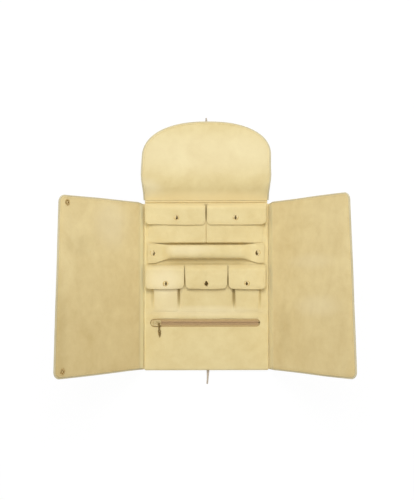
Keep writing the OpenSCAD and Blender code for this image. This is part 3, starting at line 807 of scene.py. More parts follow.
def flapGive(s, y):
    out = np.clip(s - case["topSpine"], 0, 1)
    calm = ease(s / 0.02)
    lift = calm * waves(s, y, flap["seed"], flap["waves"])
    lift = lift - flap["sideDrop"] * (np.abs(y) / (case["flapWidth"] / 2)) ** 4 * ease(out / 0.05)
    return lift, flap["aside"] * ease((s - flap["asideFrom"]) / flap["asideOver"]), 0.0


def leafGrid(rows, halfAt, edges, count):
    grid = []
    for s in rows:
        half = halfAt(s)
        across = spread(2 * half, edges, count) - half
        grid.append(np.stack([np.full(len(across), s), across], axis=1))
    return np.array(grid)


def leafLayer(at, grid, give, low, high, edge, extra=None):
    away = edgeDistance(grid)
    s, y = grid[..., 0], grid[..., 1]
    lift, shift, along = give(s, y)
    center, half = (low + high) / 2, (high - low) / 2
    swell = extra(s, y, away) if extra else 0.0
    top = at(s + along, y + shift, center + half * rim(away, edge) + lift + swell)
    bottom = at(s + along, y + shift, center - half * rim(away, edge) + lift)
    return skin(top, bottom)


def seamGroove(inset, depth, wide, pillow):
    def extra(s, y, away):
        return -depth * np.exp(-((away - inset) / wide) ** 2) + pillow * ease((away - inset) / 0.006)
    return extra


def leafStitches(at, give, outline, lift):
    outline = np.asarray(outline)
    push, shift, along = give(outline[:, 0], outline[:, 1])
    spotsHere = at(outline[:, 0] + along, outline[:, 1] + shift, lift + push)
    above = at(outline[:, 0] + along, outline[:, 1] + shift, lift + push + math.copysign(0.001, lift))
    return stitchRun(spotsHere, above - spotsHere)


def wingHalf(border):
    corner = case["wingCorner"] - border

    def half(s, end):
        full = case["leafLength"] / 2 - border
        return full - cornerCut(corner, np.clip(corner - (end - s), 0, corner))
    return half


def wingRows(height, border):
    end = height + case["wingWidth"] - border
    corner = case["wingCorner"] - border
    start = leaf["start"] + np.array(leaf["startSteps"])
    spine = np.linspace(start[-1], height - 0.006, 5)[1:]
    fold = np.linspace(height - 0.006, height + 0.008, 15)[1:]
    flat = np.linspace(height + 0.008, end - corner, 52)[1:]
    turns = np.radians([12, 24, 36, 46, 55, 63, 70, 76, 81, 85, 88, 90])
    return np.concatenate([start, spine, fold, flat, end - corner + corner * np.sin(turns)]), end


def wingPath(height, inset):
    first, end = leaf["start"] + leaf["stitchFrom"], height + case["wingWidth"] - inset
    half = case["leafLength"] / 2 - inset
    corner = case["wingCorner"] - inset
    path = [(s, half) for s in np.linspace(first, end - corner, 90)]
    path += [(end - corner + corner * math.sin(a), half - corner + corner * math.cos(a))
             for a in np.linspace(0.1, math.pi / 2, 8)]
    path += [(end, y) for y in np.linspace(half - corner, -half + corner, 90)[1:]]
    path += [(end - corner + corner * math.cos(a), -half + corner - corner * math.sin(a))
             for a in np.linspace(0.1, math.pi / 2, 8)]
    path += [(s, -half) for s in np.linspace(end - corner, first, 90)[1:]]
    return path


def dressLeaf(name, at, give, gridFor, path, bodies, lining, border, groove, covers, linings):
    makePiece(name + "Leather", leafLayer(at, gridFor(0), give, leaf["leatherLow"], leaf["leatherHigh"],
                                          leaf["rimLeather"]), bodies, leather, covers)
    makePiece(name + "Suede", leafLayer(at, gridFor(border), give, leaf["suedeLow"], leaf["suedeHigh"],
                                        leaf["rimSuede"], seamGroove(*groove)),
              bodies, lining, linings)
    sewn = joined([leafStitches(at, give, path, leaf["suedeHigh"] - 0.0001),
                   leafStitches(at, give, path, leaf["leatherLow"] + 0.00002)])
    threadPiece(name + "Stitches", sewn, bodies)


wingAt, wingGives = {}, {}


def makeWing(way):
    height = case[way + "Spine"]

    def bow(s):
        lean = leaf[way]["lean"] * ease(s / 0.01)
        late = ease((s - leaf["curlFrom"]) / (case["wingWidth"] - leaf["curlFrom"]))
        return lean - leaf["curl"] * late ** 2
    at = courseOf(height, case["spineTilt"], case["wingTilt"], leaf["bend"], case["wingWidth"], way, bow)
    give = wingGive(way, height)
    wingAt[way], wingGives[way] = at, give

    def gridFor(border):
        rows, end = wingRows(height, border)
        half = wingHalf(border)
        return leafGrid(rows, lambda s: half(s, end), leaf["edges"], leaf["across"])
    bodies = (way + "_spine", way + "_wing", onCourse(at, height - leaf["blend"]),
              onCourse(at, height + leaf["blend"]))
    dressLeaf(way + "Leaf", at, give, gridFor, wingPath(height, leaf["stitchInset"]), bodies, leafSuede,
              leaf["border"], leaf["groove"],
              ("spine_" + way + "_cover", "wing_" + way + "_cover", "wing_" + way + "_board"),
              ("spine_" + way + "_lining", "fold_wing_" + way, "wing_" + way + "_lining"))


makeWing("right")
makeWing("left")
print("wings made")


def flapHalf(border):
    tip = case["topSpine"] + case["flapLength"] - flap["short"] - border
    arch = case["flapArch"] - border

    def half(s):
        wide = np.interp(s, *flap["widths"]) - border
        share = np.clip((s - (tip - arch)) / arch, 0, 1)
        return max(float(wide * (1 - share ** case["flapBow"]) ** (1 / case["flapBow"])), 0.00001)
    return half, tip, arch


def flapRows(border):
    tip, arch = flapHalf(border)[1:]
    start = leaf["start"] + np.array(leaf["startSteps"])
    before, past = case["topSpine"] - flap["rowsBefore"], case["topSpine"] + flap["rowsPast"]
    spine = np.linspace(start[-1], before, 7)[1:]
    fold = np.linspace(before, past, 22)[1:]
    flat = np.linspace(past, tip - arch, 14)[1:]
    turns = np.radians(np.concatenate([np.linspace(4, 60, 22), np.linspace(62, 90, 20)]))
    curve = tip - arch + arch * np.sin(turns) ** (2 / case["flapBow"])
    return np.concatenate([start, spine, fold, flat, curve[curve > tip - arch + flap["rowGap"]]])


def flapPath(inset):
    half, tip, arch = flapHalf(inset)
    turns = np.radians(np.linspace(90, 4, 70))
    curve = tip - arch + arch * np.sin(turns) ** (2 / case["flapBow"])
    sides = np.concatenate([curve, np.linspace(tip - arch, leaf["start"] + leaf["stitchFrom"], 50)])
    right = [(s, half(s)) for s in sides]
    return [(s, -y) for s, y in right[::-1]] + right[1:]


def makeFlap():
    def gridFor(border):
        return leafGrid(flapRows(border), flapHalf(border)[0], leaf["edges"], flap["across"])
    bodies = ("top_spine", "top_flap", onCourse(flapAt, case["topSpine"] - flap["blend"]),
              onCourse(flapAt, case["topSpine"] + flap["blend"]))
    dressLeaf("flap", flapAt, flapGive, gridFor, flapPath(flap["stitchInset"]), bodies, suede,
              flap["border"], flap["groove"], ("spine_top_cover", "flap_cover", "flap_board"),
              ("spine_top_lining", "fold_flap", "flap_lining"))


makeFlap()
print("flap made")


# ---- centre panel: lining with the zip's opening, turned edge, folds
panel = {
    "drop": 0.0024, "thick": 0.0008, "swell": 0.00010, "lowerSwell": 0.0002, "seamY": -0.0384,
    "zipX": -0.0017, "zipY": -0.0545, "zipLength": 0.164, "zipHeight": 0.0124, "lip": 0.00055,
    "lipOut": 0.00035, "lipZ": 0.00675, "stitchOut": 0.0026, "seamEnd": 0.088, "cutLow": 0.005,
    "cutHigh": 0.009, "clearFrom": -0.036, "fineWave": (61, 0.03), "wideWave": (62, 0.06),
    "seamDepth": 0.0005, "seamWide": 0.0008, "across": 72, "topWelt": 0.092,
    "weltRound": 0.0012, "weltPuff": 0.05,
    "edges": [0, 0.00015, 0.0005, 0.0010, 0.0016, 0.0023, 0.0032, 0.0050, 0.008],
    # section of the turned edge: way out and height
    "binding": [(-0.0016, 0.0028), (-0.0004, 0.00285), (-0.00005, 0.0032), (0, 0.0038), (-0.00004, 0.0044),
                (-0.0003, 0.0050), (-0.0008, 0.0054), (-0.0016, 0.0056)],
}
upright = np.array([0, 0, 1.0])


def panelGrid():
    halfWide, halfLong = case["panelWidth"] / 2, case["panelLength"] / 2
    corner = case["panelCorner"]
    turns = np.radians([0, 12, 24, 38, 52, 66, 78, 90])
    near = corner - corner * np.sin(turns[::-1])
    flat = np.linspace(-halfLong + corner + 0.003, halfLong - corner - 0.003, 96)
    rows = np.concatenate([-halfLong + near, flat, halfLong - near[::-1]])
    grid = []
    for y in rows:
        half = halfWide - cornerCut(corner, max(corner - (halfLong - abs(y)), 0))
        across = spread(2 * half, panel["edges"], panel["across"]) - half
        grid.append(np.stack([across, np.full(len(across), y)], axis=1))
    return np.array(grid)


def panelTop(x, y, away):
    drop = panel["drop"]
    fall = drop - np.sqrt(np.clip(drop ** 2 - np.clip(drop - away, 0, drop) ** 2, 0, None))
    clear = ease((panel["clearFrom"] - y) / 0.01) * ease((away - 0.002) / 0.012)
    clear = clear * ease((np.abs(y - panel["zipY"]) - 0.006) / 0.014)
    swell = panel["swell"] * ripple(x, y, *panel["fineWave"])
    swell = swell + panel["lowerSwell"] * clear * ripple(x, y, *panel["wideWave"])
    ledge = -panel["seamDepth"] * np.exp(-((y - panel["seamY"]) / panel["seamWide"]) ** 2)
    ledge = ledge * ease((0.090 - np.abs(x)) / 0.002)
    return case["floor"] - fall + swell * ease(away / 0.004) + ledge


def flatRun(x, y, z):
    # a run of stitches on a flat face, with its normals straight up
    path = np.stack(np.broadcast_arrays(x, y, z), -1)
    return stitchRun(path, [upright] * len(path))


def cutOpening(lining, outline):
    prism = tube([[(px, py, z) for px, py in outline] for z in (panel["cutLow"], panel["cutHigh"])])
    cutter = suedePiece("zipCutter", prism)
    cut = lining.modifiers.new("opening", "BOOLEAN")
    cut.operation, cut.object, cut.solver = "DIFFERENCE", cutter, "EXACT"
    held = bpy.data.meshes.new_from_object(lining.evaluated_get(bpy.context.evaluated_depsgraph_get()))
    lining.modifiers.clear()
    lining.data = held
    bpy.data.objects.remove(cutter)


def makePanel():
    grid = panelGrid()
    away = edgeDistance(grid)
    x, y = grid[..., 0], grid[..., 1]
    top = panelTop(x, y, away)
    under = top - panel["thick"] * rim(away, 0.0012)
    lining = suedePiece("panelLining", faceSkin(x, y, top, under), ("centre_lining",))
    endRadius = panel["zipHeight"] / 2
    straight = (panel["zipLength"] - panel["zipHeight"]) / 2
    zipX, zipY = panel["zipX"], panel["zipY"]
    outline = [(zipX + side * straight + endRadius * math.cos(a), zipY + endRadius * math.sin(a))
               for side, first in ((1, -math.pi / 2), (-1, math.pi / 2))
               for a in np.linspace(first, first + math.pi, 20)]
    cutOpening(lining, outline)
    rings = []
    for number, (px, py) in enumerate(outline):
        before, after = outline[number - 1], outline[(number + 1) % len(outline)]
        out = np.array([after[1] - before[1], before[0] - after[0], 0])
        out = out / np.linalg.norm(out)
        rings.append([np.array([px, py, panel["lipZ"]]) + out * panel["lipOut"] + panel["lip"] * (
            math.cos(turn) * out * 1.15 + math.sin(turn) * upright * 0.9) for turn in fullTurn(10)])
    suedePiece("zipLip", tube(rings, closed=True))
    loop = np.array(outline + outline[:1])
    centers = np.stack([zipX + np.clip(loop[:, 0] - zipX, -straight, straight),
                        np.full(len(loop), zipY)], -1)
    out = loop - centers
    path = centers + out * (1 + panel["stitchOut"] / np.linalg.norm(out, axis=1, keepdims=True))
    line = np.linspace(-panel["seamEnd"], panel["seamEnd"], 60)
    sewn = [flatRun(path[:, 0], path[:, 1], case["floor"] + 0.00003),
            flatRun(line, panel["seamY"] - 0.0014, case["floor"] + 0.00002)]
    threadPiece("panelStitches", joined(sewn))


def makeBinding():
    halfWide, halfLong, corner = case["panelWidth"] / 2, case["panelLength"] / 2, case["panelCorner"]
    path = []
    for cx, cy, turn in ((1, -1, -90), (1, 1, 0), (-1, 1, 90), (-1, -1, 180)):
        for step in np.linspace(0, 90, 7):
            a = math.radians(turn + step)
            path.append((cx * (halfWide - corner) + corner * math.cos(a),
                         cy * (halfLong - corner) + corner * math.sin(a), math.cos(a), math.sin(a)))
    rings = [[(px + nx * out, py + ny * out, z) for out, z in panel["binding"]] for px, py, nx, ny in path]
    suedePiece("panelBinding", tube(rings, closed=True))


def weltRings(start, stop, seed, steps=90):
    radius, puff = case["foldRadius"], panel["weltPuff"]
    start, stop = (np.array([*spot, case["foldHeight"]]) for spot in (start, stop))
    ahead = (stop - start) / np.linalg.norm(stop - start)
    side = np.cross(ahead, upright)
    total = np.linalg.norm(stop - start)
    rings = []
    for share in np.concatenate([[0, 0.001, 0.003], np.linspace(0.006, 0.994, steps), [0.997, 0.999, 1]]):
        fromEnd = min(share, 1 - share) * total
        size = radius * (0.25 + 0.75 * math.sqrt(max(1 - (1 - min(fromEnd / panel["weltRound"], 1)) ** 2, 0)))
        puffed = 1 - puff + puff * float(ripple(share * total, 0.0, seed, 0.012))
        rings.append([start + ahead * share * total + size * puffed * (
            math.cos(turn) * side + math.sin(turn) * upright) for turn in fullTurn(16)])
    return tube(rings)


def makeWelts():
    half = case["leafLength"] / 2
    for way, start, stop, seed in (("right", (sideFold, -half), (sideFold, half), 72),
                                   ("left", (-sideFold, -half), (-sideFold, half), 70),
                                   ("top", (-panel["topWelt"], topFold), (panel["topWelt"], topFold), 75)):
        suedePiece(way + "FoldWelt", weltRings(start, stop, seed), ("fold_" + way,))


makePanel()
makeBinding()
makeWelts()
print("panel made")


# ---- pockets
labels = {"UpperLeft": "upper_left", "UpperRight": "upper_right", "MiddleLeft": "middle_left",
          "MiddleCentre": "middle_centre", "MiddleRight": "middle_right"}
pocketEdges = [0, 0.00003, 0.00012, 0.0003, 0.0006, 0.0010, 0.0016, 0.0024, 0.0036, 0.0052, 0.0075, 0.0105]
pocketShape = {"corner": 0.004, "sunk": 0.00008, "stitchInset": 0.0018, "wave": (0.0003, 0.028),
               "calmSides": 0.008, "calmFoot": 0.006, "calmMouth": 0.012,
               "tuckFrom": 0.004, "tuckOver": 0.003, "tuckRise": 0.006}
upperPocket = {"top": case["pocketTop"], "foot": 0.0030, "taper": 0.05, "under": (0.0, 0.0)}
narrowPocket = {"top": case["pocketTop"], "side": (0.001, 0.001), "foot": 0.0120, "taper": 0.80,
                "soft": (0.001, 0.001)}
# box: left, right, foot and mouth; side and soft: how round each side is; under: how far it tucks in
pockets = {
    "UpperLeft": upperPocket | {"box": (-0.0888, 0.0002, 0.0638, 0.116), "side": (0.015, 0.0009),
                                "seed": 101, "soft": (0.034, 0.0015)},
    "UpperRight": upperPocket | {"box": (-0.0002, 0.0868, 0.0638, 0.116), "side": (0.0009, 0.015),
                                 "seed": 102, "soft": (0.0015, 0.034)},
    "MiddleLeft": narrowPocket | {"box": (-0.080, -0.042, -0.0374, 0.0236), "seed": 103,
                                  "under": (0.0020, 0.0008)},
    "MiddleCentre": {"box": (-0.0400, 0.0395, -0.0374, 0.0236), "top": case["lowPocketTop"],
                     "side": (0.003, 0.003), "foot": 0.0140, "taper": 0.85, "seed": 104,
                     "soft": (0.006, 0.006), "under": (0.0, 0.0)},
    "MiddleRight": narrowPocket | {"box": (0.041, 0.079, -0.0374, 0.0236), "seed": 105,
                                   "under": (0.0024, 0.0)},
}


def pocketGrid(box, inset):
    left, right, bottom, mouth = box
    corner = pocketShape["corner"] - inset
    left, right, bottom = left + inset, right - inset, bottom + inset
    turns = np.radians([0, 10, 22, 34, 46, 58, 70, 80, 90])
    near = bottom + corner - corner * np.cos(turns)
    rows = np.concatenate([near, np.linspace(bottom + corner, mouth, 26)[1:]])
    grid = []
    for y in rows:
        cut = cornerCut(corner, max(corner - (y - bottom), 0))
        across = left + cut + spread(right - left - 2 * cut, pocketEdges, 26)
        grid.append(np.stack([across, np.full(len(across), y)], axis=1))
    return np.array(grid)


def pocketHeight(facts, x, y, inset):
    left, right, bottom, mouth = facts["box"]
    footAway = y - bottom - inset
    share = ease((y - bottom) / (mouth - bottom))
    full = (facts["top"] - case["floor"]) * (1 - facts["taper"] * (1 - share)) - inset
    height = full * rim(footAway, facts["foot"] - inset)
    for sideAway, side, soft in zip((x - left - inset, right - x - inset), facts["side"], facts["soft"]):
        fade = (1 - share) ** 2 * min(1.0, soft / 0.02)
        height = height * rim(sideAway, max(side - inset, 0.0003)) * (1 - fade + fade * ease(sideAway / soft))
    sideAway = np.minimum(x - left, right - x) - inset
    calm = ease(sideAway / pocketShape["calmSides"]) * ease(footAway / pocketShape["calmFoot"])
    calm = calm * (1 - ease((y - pocketShape["calmMouth"] - bottom) / (mouth - bottom)))
    rise, size = pocketShape["wave"]
    return height + calm * rise * ripple(x, y, facts["seed"], size)


def makePocket(name, facts):
    left, right, bottom, mouth = facts["box"]
    center, base = (left + right) / 2, case["floor"] - pocketShape["sunk"]
    layers = []
    for inset in (0, case["wall"]):
        grid = pocketGrid(facts["box"], inset)
        x, y = grid[..., 0], grid[..., 1]
        away = edgeDistance(grid, ("low", "left", "right"))
        height = pocketHeight(facts, x, y, inset) * ease(away / 0.00002)
        share = height / max(height.max(), 1e-9)
        under = np.where(x < center, *facts["under"])
        tuck = under * (1 - share) ** 0.7 * ease((pocketShape["tuckFrom"] - away) / pocketShape["tuckOver"])
        tuck = tuck * ease((y - bottom) / pocketShape["tuckRise"])
        layers.append(np.stack([x + np.sign(center - x) * tuck, y, base + height], -1))
    suedePiece("pocket" + name, skin(*layers), ("pocket_" + labels[name],))
    inset = pocketShape["stitchInset"] + 0.4 * min(facts["side"])
    path = roundedPath((left + inset, right - inset, bottom + inset, mouth - 0.001), pocketShape["corner"],
                       np.linspace(0.2, 1.4, 6), 40, 30)
    x, y = path[:, 0], path[:, 1]
    return flatRun(x, y, base + pocketHeight(facts, x, y, 0) - 0.00004)


sewn = [makePocket(name, facts) for name, facts in pockets.items()]
threadPiece("pocketStitches", joined(sewn))
print("pockets made")

# ---- pocket flaps, with their snaps
snap = {"radius": 0.0041, "dome": 0.0009, "rimHeight": 0.0005, "socket": 0.0030, "bore": 0.0016,
        "under": 0.0008, "flatDome": 0.0004, "shank": 0.0014}
pocketFlap = {"corner": 0.0065, "rise": 0.009, "rootHeight": 0.0082, "droop": 0.0007, "dimple": 0.00035,
              "edges": [0, 0.0001, 0.0003, 0.0007, 0.0012, 0.0018, 0.0024, 0.0030, 0.0045, 0.007],
              "stitchInset": 0.0024, "endFrom": 0.010, "sideDrop": 0.0005, "sideOver": 0.007,
              "dimpleWide": 0.0065, "sway": 0.00025, "wave": (0.00025, 0.030), "hem": 0.0006,
              "grooveDepth": 0.00010, "grooveAt": 0.0022, "grooveWide": 0.0006,
              "calmFrom": 0.004, "calmOver": 0.008, "calmOut": 0.010}
upperFlap = {"root": case["upperRoot"], "length": 0.032, "front": case["pocketTop"], "slant": (0.0, 0.0)}
middleFlap = {"root": case["middleRoot"], "length": 0.037, "front": case["pocketTop"]}
# low: how much shorter each corner is; slant: how far each side leans in at the free edge
pocketFlaps = {
    "UpperLeft": upperFlap | {"x": (-0.091, -0.0014), "snap": (-0.044, 0.1025), "low": (0.0004, -0.0009),
                              "seed": 201},
    "UpperRight": upperFlap | {"x": (0.0014, 0.0893), "snap": (0.044, 0.1025), "low": (-0.0006, -0.0001),
                               "seed": 202},
    "MiddleLeft": middleFlap | {"x": (-0.0905, -0.0328), "snap": (-0.0605, 0.0041),
                                "low": (0.0012, 0.0019), "slant": (0.0, -0.0004), "seed": 203},
    "MiddleCentre": middleFlap | {"x": (-0.0318, 0.0318), "snap": (0.0, 0.0041), "low": (0.0015, 0.0015),
                                  "front": case["lowPocketTop"], "slant": (0.0011, -0.0011), "seed": 204,
                                  "dome": snap["flatDome"]},
    "MiddleRight": middleFlap | {"x": (0.0328, 0.0884), "snap": (0.0605, 0.0041), "low": (0.0014, 0.0008),
                                 "slant": (0.0006, 0.0), "seed": 205},
}


def flapSurface(facts, x, y):
    root, length = facts["root"], facts["length"]
    out = root - y
    climb = ease(np.clip(out / pocketFlap["rise"], 0, 1) * 0.5 + 0.5) * 2 - 1
    top = case["flapHeight"] + case["flapThick"] / 2
    height = pocketFlap["rootHeight"] + (top - pocketFlap["rootHeight"]) * climb
    atEnd = ease((out - (length - pocketFlap["endFrom"])) / pocketFlap["endFrom"])
    height = height - pocketFlap["droop"] * atEnd ** 2
    left, right = facts["x"]
    sideAway = np.minimum(x - left, right - x)
    beside = 1 - ease(sideAway / pocketFlap["sideOver"])
    height = height - pocketFlap["sideDrop"] * beside * ease(out / 0.012)
    sx, sy = facts["snap"]
    away = np.sqrt((x - sx) ** 2 + (y - sy) ** 2)
    height = height - pocketFlap["dimple"] * np.exp(-(away / pocketFlap["dimpleWide"]) ** 2)
    calm = ease((away - pocketFlap["calmFrom"]) / pocketFlap["calmOver"]) * ease(out / pocketFlap["calmOut"])
    rise, size = pocketFlap["wave"]
    return height + calm * rise * ripple(x, y, facts["seed"], size)


def flapEdge(facts, x):
    left, right = facts["x"]
    share = (x - left) / (right - left)
    sway = pocketFlap["sway"] * np.sin(share * 2 * math.pi * 1.3)
    return facts["low"][0] * (1 - share) + facts["low"][1] * share + sway


def slanted(facts, x, y):
    # both sides lean in towards the free edge
    left, right = facts["x"]
    tip = ease((facts["root"] - y) / facts["length"])
    share = (x - left) / (right - left)
    return x + facts["slant"][0] * tip * (1 - share) + facts["slant"][1] * tip * share, tip


def pocketFlapGrid(facts):
    left, right = facts["x"]
    root, low, corner = facts["root"], facts["root"] - facts["length"], pocketFlap["corner"]
    near = low + corner - corner * np.sin(np.radians([90, 84, 76, 66, 56, 46, 36, 24, 12]))
    grid = []
    for y in np.concatenate([near, np.linspace(low + corner, root, 30)]):
        cut = cornerCut(corner, max(corner - (y - low), 0))
        across = left + cut + spread(right - left - 2 * cut, pocketFlap["edges"], 30)
        tip = ease((root - y) / facts["length"])
        across = across + facts["slant"][0] * tip * (1 - (across - left) / (right - left))
        across = across + facts["slant"][1] * tip * (across - left) / (right - left)
        grid.append(np.stack([across, np.full(len(across), y)], axis=1))
    return np.array(grid)


def makePocketFlap(name, facts):
    left, right = facts["x"]
    root, low, corner = facts["root"], facts["root"] - facts["length"], pocketFlap["corner"]
    body, thick = labels[name] + "_flap", case["flapThick"]
    grid = pocketFlapGrid(facts)
    away = edgeDistance(grid, ("low", "left", "right"))
    x, y = grid[..., 0], grid[..., 1]
    moved = y + flapEdge(facts, x) * ease((root - y) / facts["length"])
    surface = flapSurface(facts, x, y)
    half = thick / 2 * np.maximum(rim(away, pocketFlap["hem"]), 0.02)
    groove = (away - pocketFlap["grooveAt"]) / pocketFlap["grooveWide"]
    groove = -pocketFlap["grooveDepth"] * np.exp(-groove ** 2)
    mesh = faceSkin(x, moved, surface + half + groove, surface - half)
    piece = suedePiece("flap" + name, mesh, ("flap_" + labels[name],), body)
    along = grid[:, grid.shape[1] // 2]
    heights = flapSurface(facts, along[:, 0], along[:, 1])
    run = float(np.sqrt(np.diff(along[:, 1]) ** 2 + np.diff(heights) ** 2).sum())
    right - left
    "snap" + name
    (right - left) * run - 0.43 * corner ** 2
    inset = pocketFlap["stitchInset"]
    path = roundedPath((left + inset, right - inset, low + inset, root - 0.002), corner - inset,
                       np.linspace(0.15, 1.45, 7), 30, 40)
    px, py = path[:, 0], path[:, 1]
    wide, tip = slanted(facts, px, py)
    sewn = flatRun(wide, py + flapEdge(facts, px) * tip, flapSurface(facts, px, py) + thick / 2 - 0.00006)
    threadPiece("flapStitches" + name, sewn, body)
    cap = snapCap(facts["snap"], case["flapHeight"] - 0.0002, thick, facts.get("dome", snap["dome"]))
    brassPiece("snap" + name, cap, body, ("snap_" + labels[name],))
    return snapStud(facts["snap"], facts["front"], 0.0010 if facts["front"] < case["pocketTop"] else 0.0006)


def snapCap(spot, low, thick, dome=snap["dome"], tilt=0.0):
    r, top, foot = snap["radius"], low + thick, low - snap["under"]
    bore, socket, shank = snap["bore"], snap["socket"], snap["shank"]
    profile = [(0, foot + 0.0004), (bore, foot + 0.0004), (bore, foot), (socket - 0.0003, foot),
               (socket, foot + 0.0002), (socket, low - 0.0001), (shank, low), (shank, top - 0.0001),
               (r - 0.0003, top - 0.0001), (r, top + 0.00012), (r, top + 0.0003),
               (r - 0.0002, top + snap["rimHeight"] - 0.00002)]
    profile += [((r - 0.00035) * math.cos(a), top + snap["rimHeight"] - 0.00006 + dome * math.sin(a))
                for a in np.radians(np.linspace(0, 90, 12))[1:]]
    points, faces = lathe(profile, (*spot, 0), 48)
    points[:, 2] -= math.tan(math.radians(tilt)) * (points[:, 0] - spot[0]) * (points[:, 2] > top)
    return points, faces


def snapStud(spot, low, base):
    top = low + base
    profile = [(0, low), (0.0030, low), (0.0030, top - 0.0001), (0.0028, top), (0.0014, top),
               (0.0012, top + 0.0001), (0.00115, top + 0.0002), (0.0013, top + 0.0003),
               (0.0012, top + 0.0004), (0.0007, top + 0.0005), (0, top + 0.00052)]
    return lathe(profile, (*spot, 0), 32)


studs = [makePocketFlap(name, facts) for name, facts in pocketFlaps.items()]
brassPiece("pocketStuds", joined(studs), "panel", ("pocket_studs",))
print("pocket flaps made")

# ---- ring bar: a padded roll that runs out into flat ends, each with a snap
bar = {
    "width": 0.0204, "height": 0.011, "half": 0.062, "tabHeight": 0.0092, "tabThick": 0.0012,
    "low": 0.0160, "highTab": 0.0128, "leftTip": -0.0872, "rightTip": 0.0868, "snaps": (-0.080, 0.077),
    "snapY": -0.0022, "shift": -0.0005, "stitchInset": 0.0022, "coreEnd": 0.0560, "coreSkin": 0.0011,
    "bend": (-0.0725, -0.0655), "bendHeight": 0.0098, "tipSteps": [0, 0.00005, 0.0002, 0.0006, 0.0012],
    "tipSqueeze": (0.55, 0.85, 0.97), "snapTilt": 5.0, "thinRight": (0.0500, 0.0215),
    "thinLeft": (0.0480, 0.0195), "flareFrom": 0.050, "flareOver": 0.030, "flarePower": 1.25,
    "sag": 0.0009, "lowSag": 0.6, "lowMore": 0.0006,
}


def barSection(x, shrink):
    first, over = bar["thinRight"] if x > 0 else bar["thinLeft"]
    inside = ease((abs(x) - first) / over)
    flare = ease((abs(x) - bar["flareFrom"]) / bar["flareOver"]) ** bar["flarePower"]
    bow = bar["sag"] * (1 - (x / bar["half"]) ** 2 if abs(x) < bar["half"] else 0)
    upper = bar["width"] / 2 * (1 - flare) + bar["highTab"] * flare - shrink
    lower = bar["width"] / 2 * (1 - flare) + (bar["low"] + bar["lowMore"]) * flare
    lower = lower - bow * bar["lowSag"] - shrink
    height = bar["height"] * (1 - inside) + bar["tabThick"] * inside - 2 * shrink
    base = (case["floor"] + case["gap"]) * (1 - inside) + bar["tabHeight"] * inside + shrink
    return upper, lower, height, base


def barRing(x, shrink=0.0, squeeze=1.0):
    upper, lower, height, base = barSection(x, shrink)
    center, half = (upper - lower) / 2 + bar["shift"], (upper + lower) / 2 * squeeze
    tall = height / 2 * squeeze
    ring = []
    for turn in fullTurn(48):
        c, s = math.cos(turn), math.sin(turn)
        ridge = 1 + 0.012 * ripple(x, turn * 0.01, 301, 0.03)
        out = half * math.copysign(abs(c) ** (0.86 if s > 0 else 0.5), c)
        up = tall * math.copysign(abs(s) ** 0.95, s) * (ridge if s > 0 else 1.0)
        ring.append((x, case["barY"] + center + out, base + height / 2 + up))
    return ring


def barStitches(tip, root):
    inset = bar["stitchInset"]
    upper = [(x, case["barY"] + barSection(x, 0)[0] - inset) for x in np.linspace(root, tip, 12)]
    lower = [(x, case["barY"] - barSection(x, 0)[1] + inset) for x in np.linspace(tip, root, 12)]
    end = [(tip, y) for y in np.linspace(upper[-1][1], lower[0][1], 16)[1:]]
    path = np.array(upper + end + lower[1:])
    return flatRun(path[:, 0], path[:, 1], bar["tabHeight"] + bar["tabThick"] - 0.00005)


def makeBar():
    steps = np.array(bar["tipSteps"])
    stations = np.concatenate([bar["leftTip"] + steps, np.linspace(-0.0850, -0.0740, 9),
                               np.linspace(-0.0732, -0.0480, 42), np.linspace(-0.046, 0.046, 44),
                               np.linspace(0.048, 0.0732, 40), np.linspace(0.074, 0.0845, 8),
                               bar["rightTip"] - steps[::-1]])
    squeeze = np.ones(len(stations))
    squeeze[:3] = squeeze[-3:][::-1] = bar["tipSqueeze"]
    rings = []
    for x, tight in zip(stations, squeeze):
        height, base = barSection(x, 0)[2:]
        ring = np.array(barRing(x))
        mid = base + height / 2
        ring[:, 2] = mid + (ring[:, 2] - mid) * tight
        rings.append(ring)
    bend = [tuple(place(x, case["barY"], bar["bendHeight"])) for x in bar["bend"]]
    roll = makePiece("ringBarRoll", tube(rings), ("panel", "ring_bar", *bend), suede,
                     ("ring_bar_cover", "bar_tab_left"), 60)
    end = bar["coreEnd"]
    inner = []
    for x in np.concatenate([[-end, -0.0557, -0.0548, -0.0530], np.linspace(-0.050, 0.050, 30),
                             [0.0530, 0.0548, 0.0557, end]]):
        tight = 0.35 + 0.65 * math.sqrt(max(1 - (1 - min((end - abs(x)) / 0.004, 1)) ** 2, 0))
        inner.append(barRing(x, bar["coreSkin"], tight))
    core = makePiece("ringBarCore", tube(inner), "ring_bar", foam, ("ring_bar_core",))
    y = case["barY"] + bar["snapY"]
    leftCap, rightCap = (snapCap((x, y), bar["tabHeight"], bar["tabThick"], snap["flatDome"],
                                 math.copysign(bar["snapTilt"], x)) for x in bar["snaps"])
    brassPiece("barSnapRight", rightCap, "ring_bar", ("ring_bar_snap",))
    brassPiece("barSnapLeft", leftCap, "panel", ("bar_tab_left_snap",))
    brassPiece("barStuds", joined([snapStud((x, y), case["floor"] - 0.00005, 0.0006) for x in bar["snaps"]]),
               "panel", ("bar_studs",))
    threadPiece("barStitchesLeft", barStitches(-0.0850, -0.0735))
    threadPiece("barStitchesRight", barStitches(0.0848, 0.0735), "ring_bar")


makeBar()
print("ring bar made")

# ---- zip
zipper = {
    "length": 0.164, "tapeTop": 0.0064, "tapeThick": 0.0006, "tapeWidth": 0.011, "tapeHalf": 0.083,
    "gap": 0.0010, "pitch": 0.0015, "coil": 0.0011, "coilHalf": 0.080, "wire": 0.00034,
    "stitchOut": 0.0033, "stitchHalf": 0.081, "sliderX": -0.0750, "sliderLow": 0.0078,
    "pinX": -0.0705, "pinY": -0.0018, "pinLift": 0.0033, "droop": 4.5, "lean": 0.06,
}
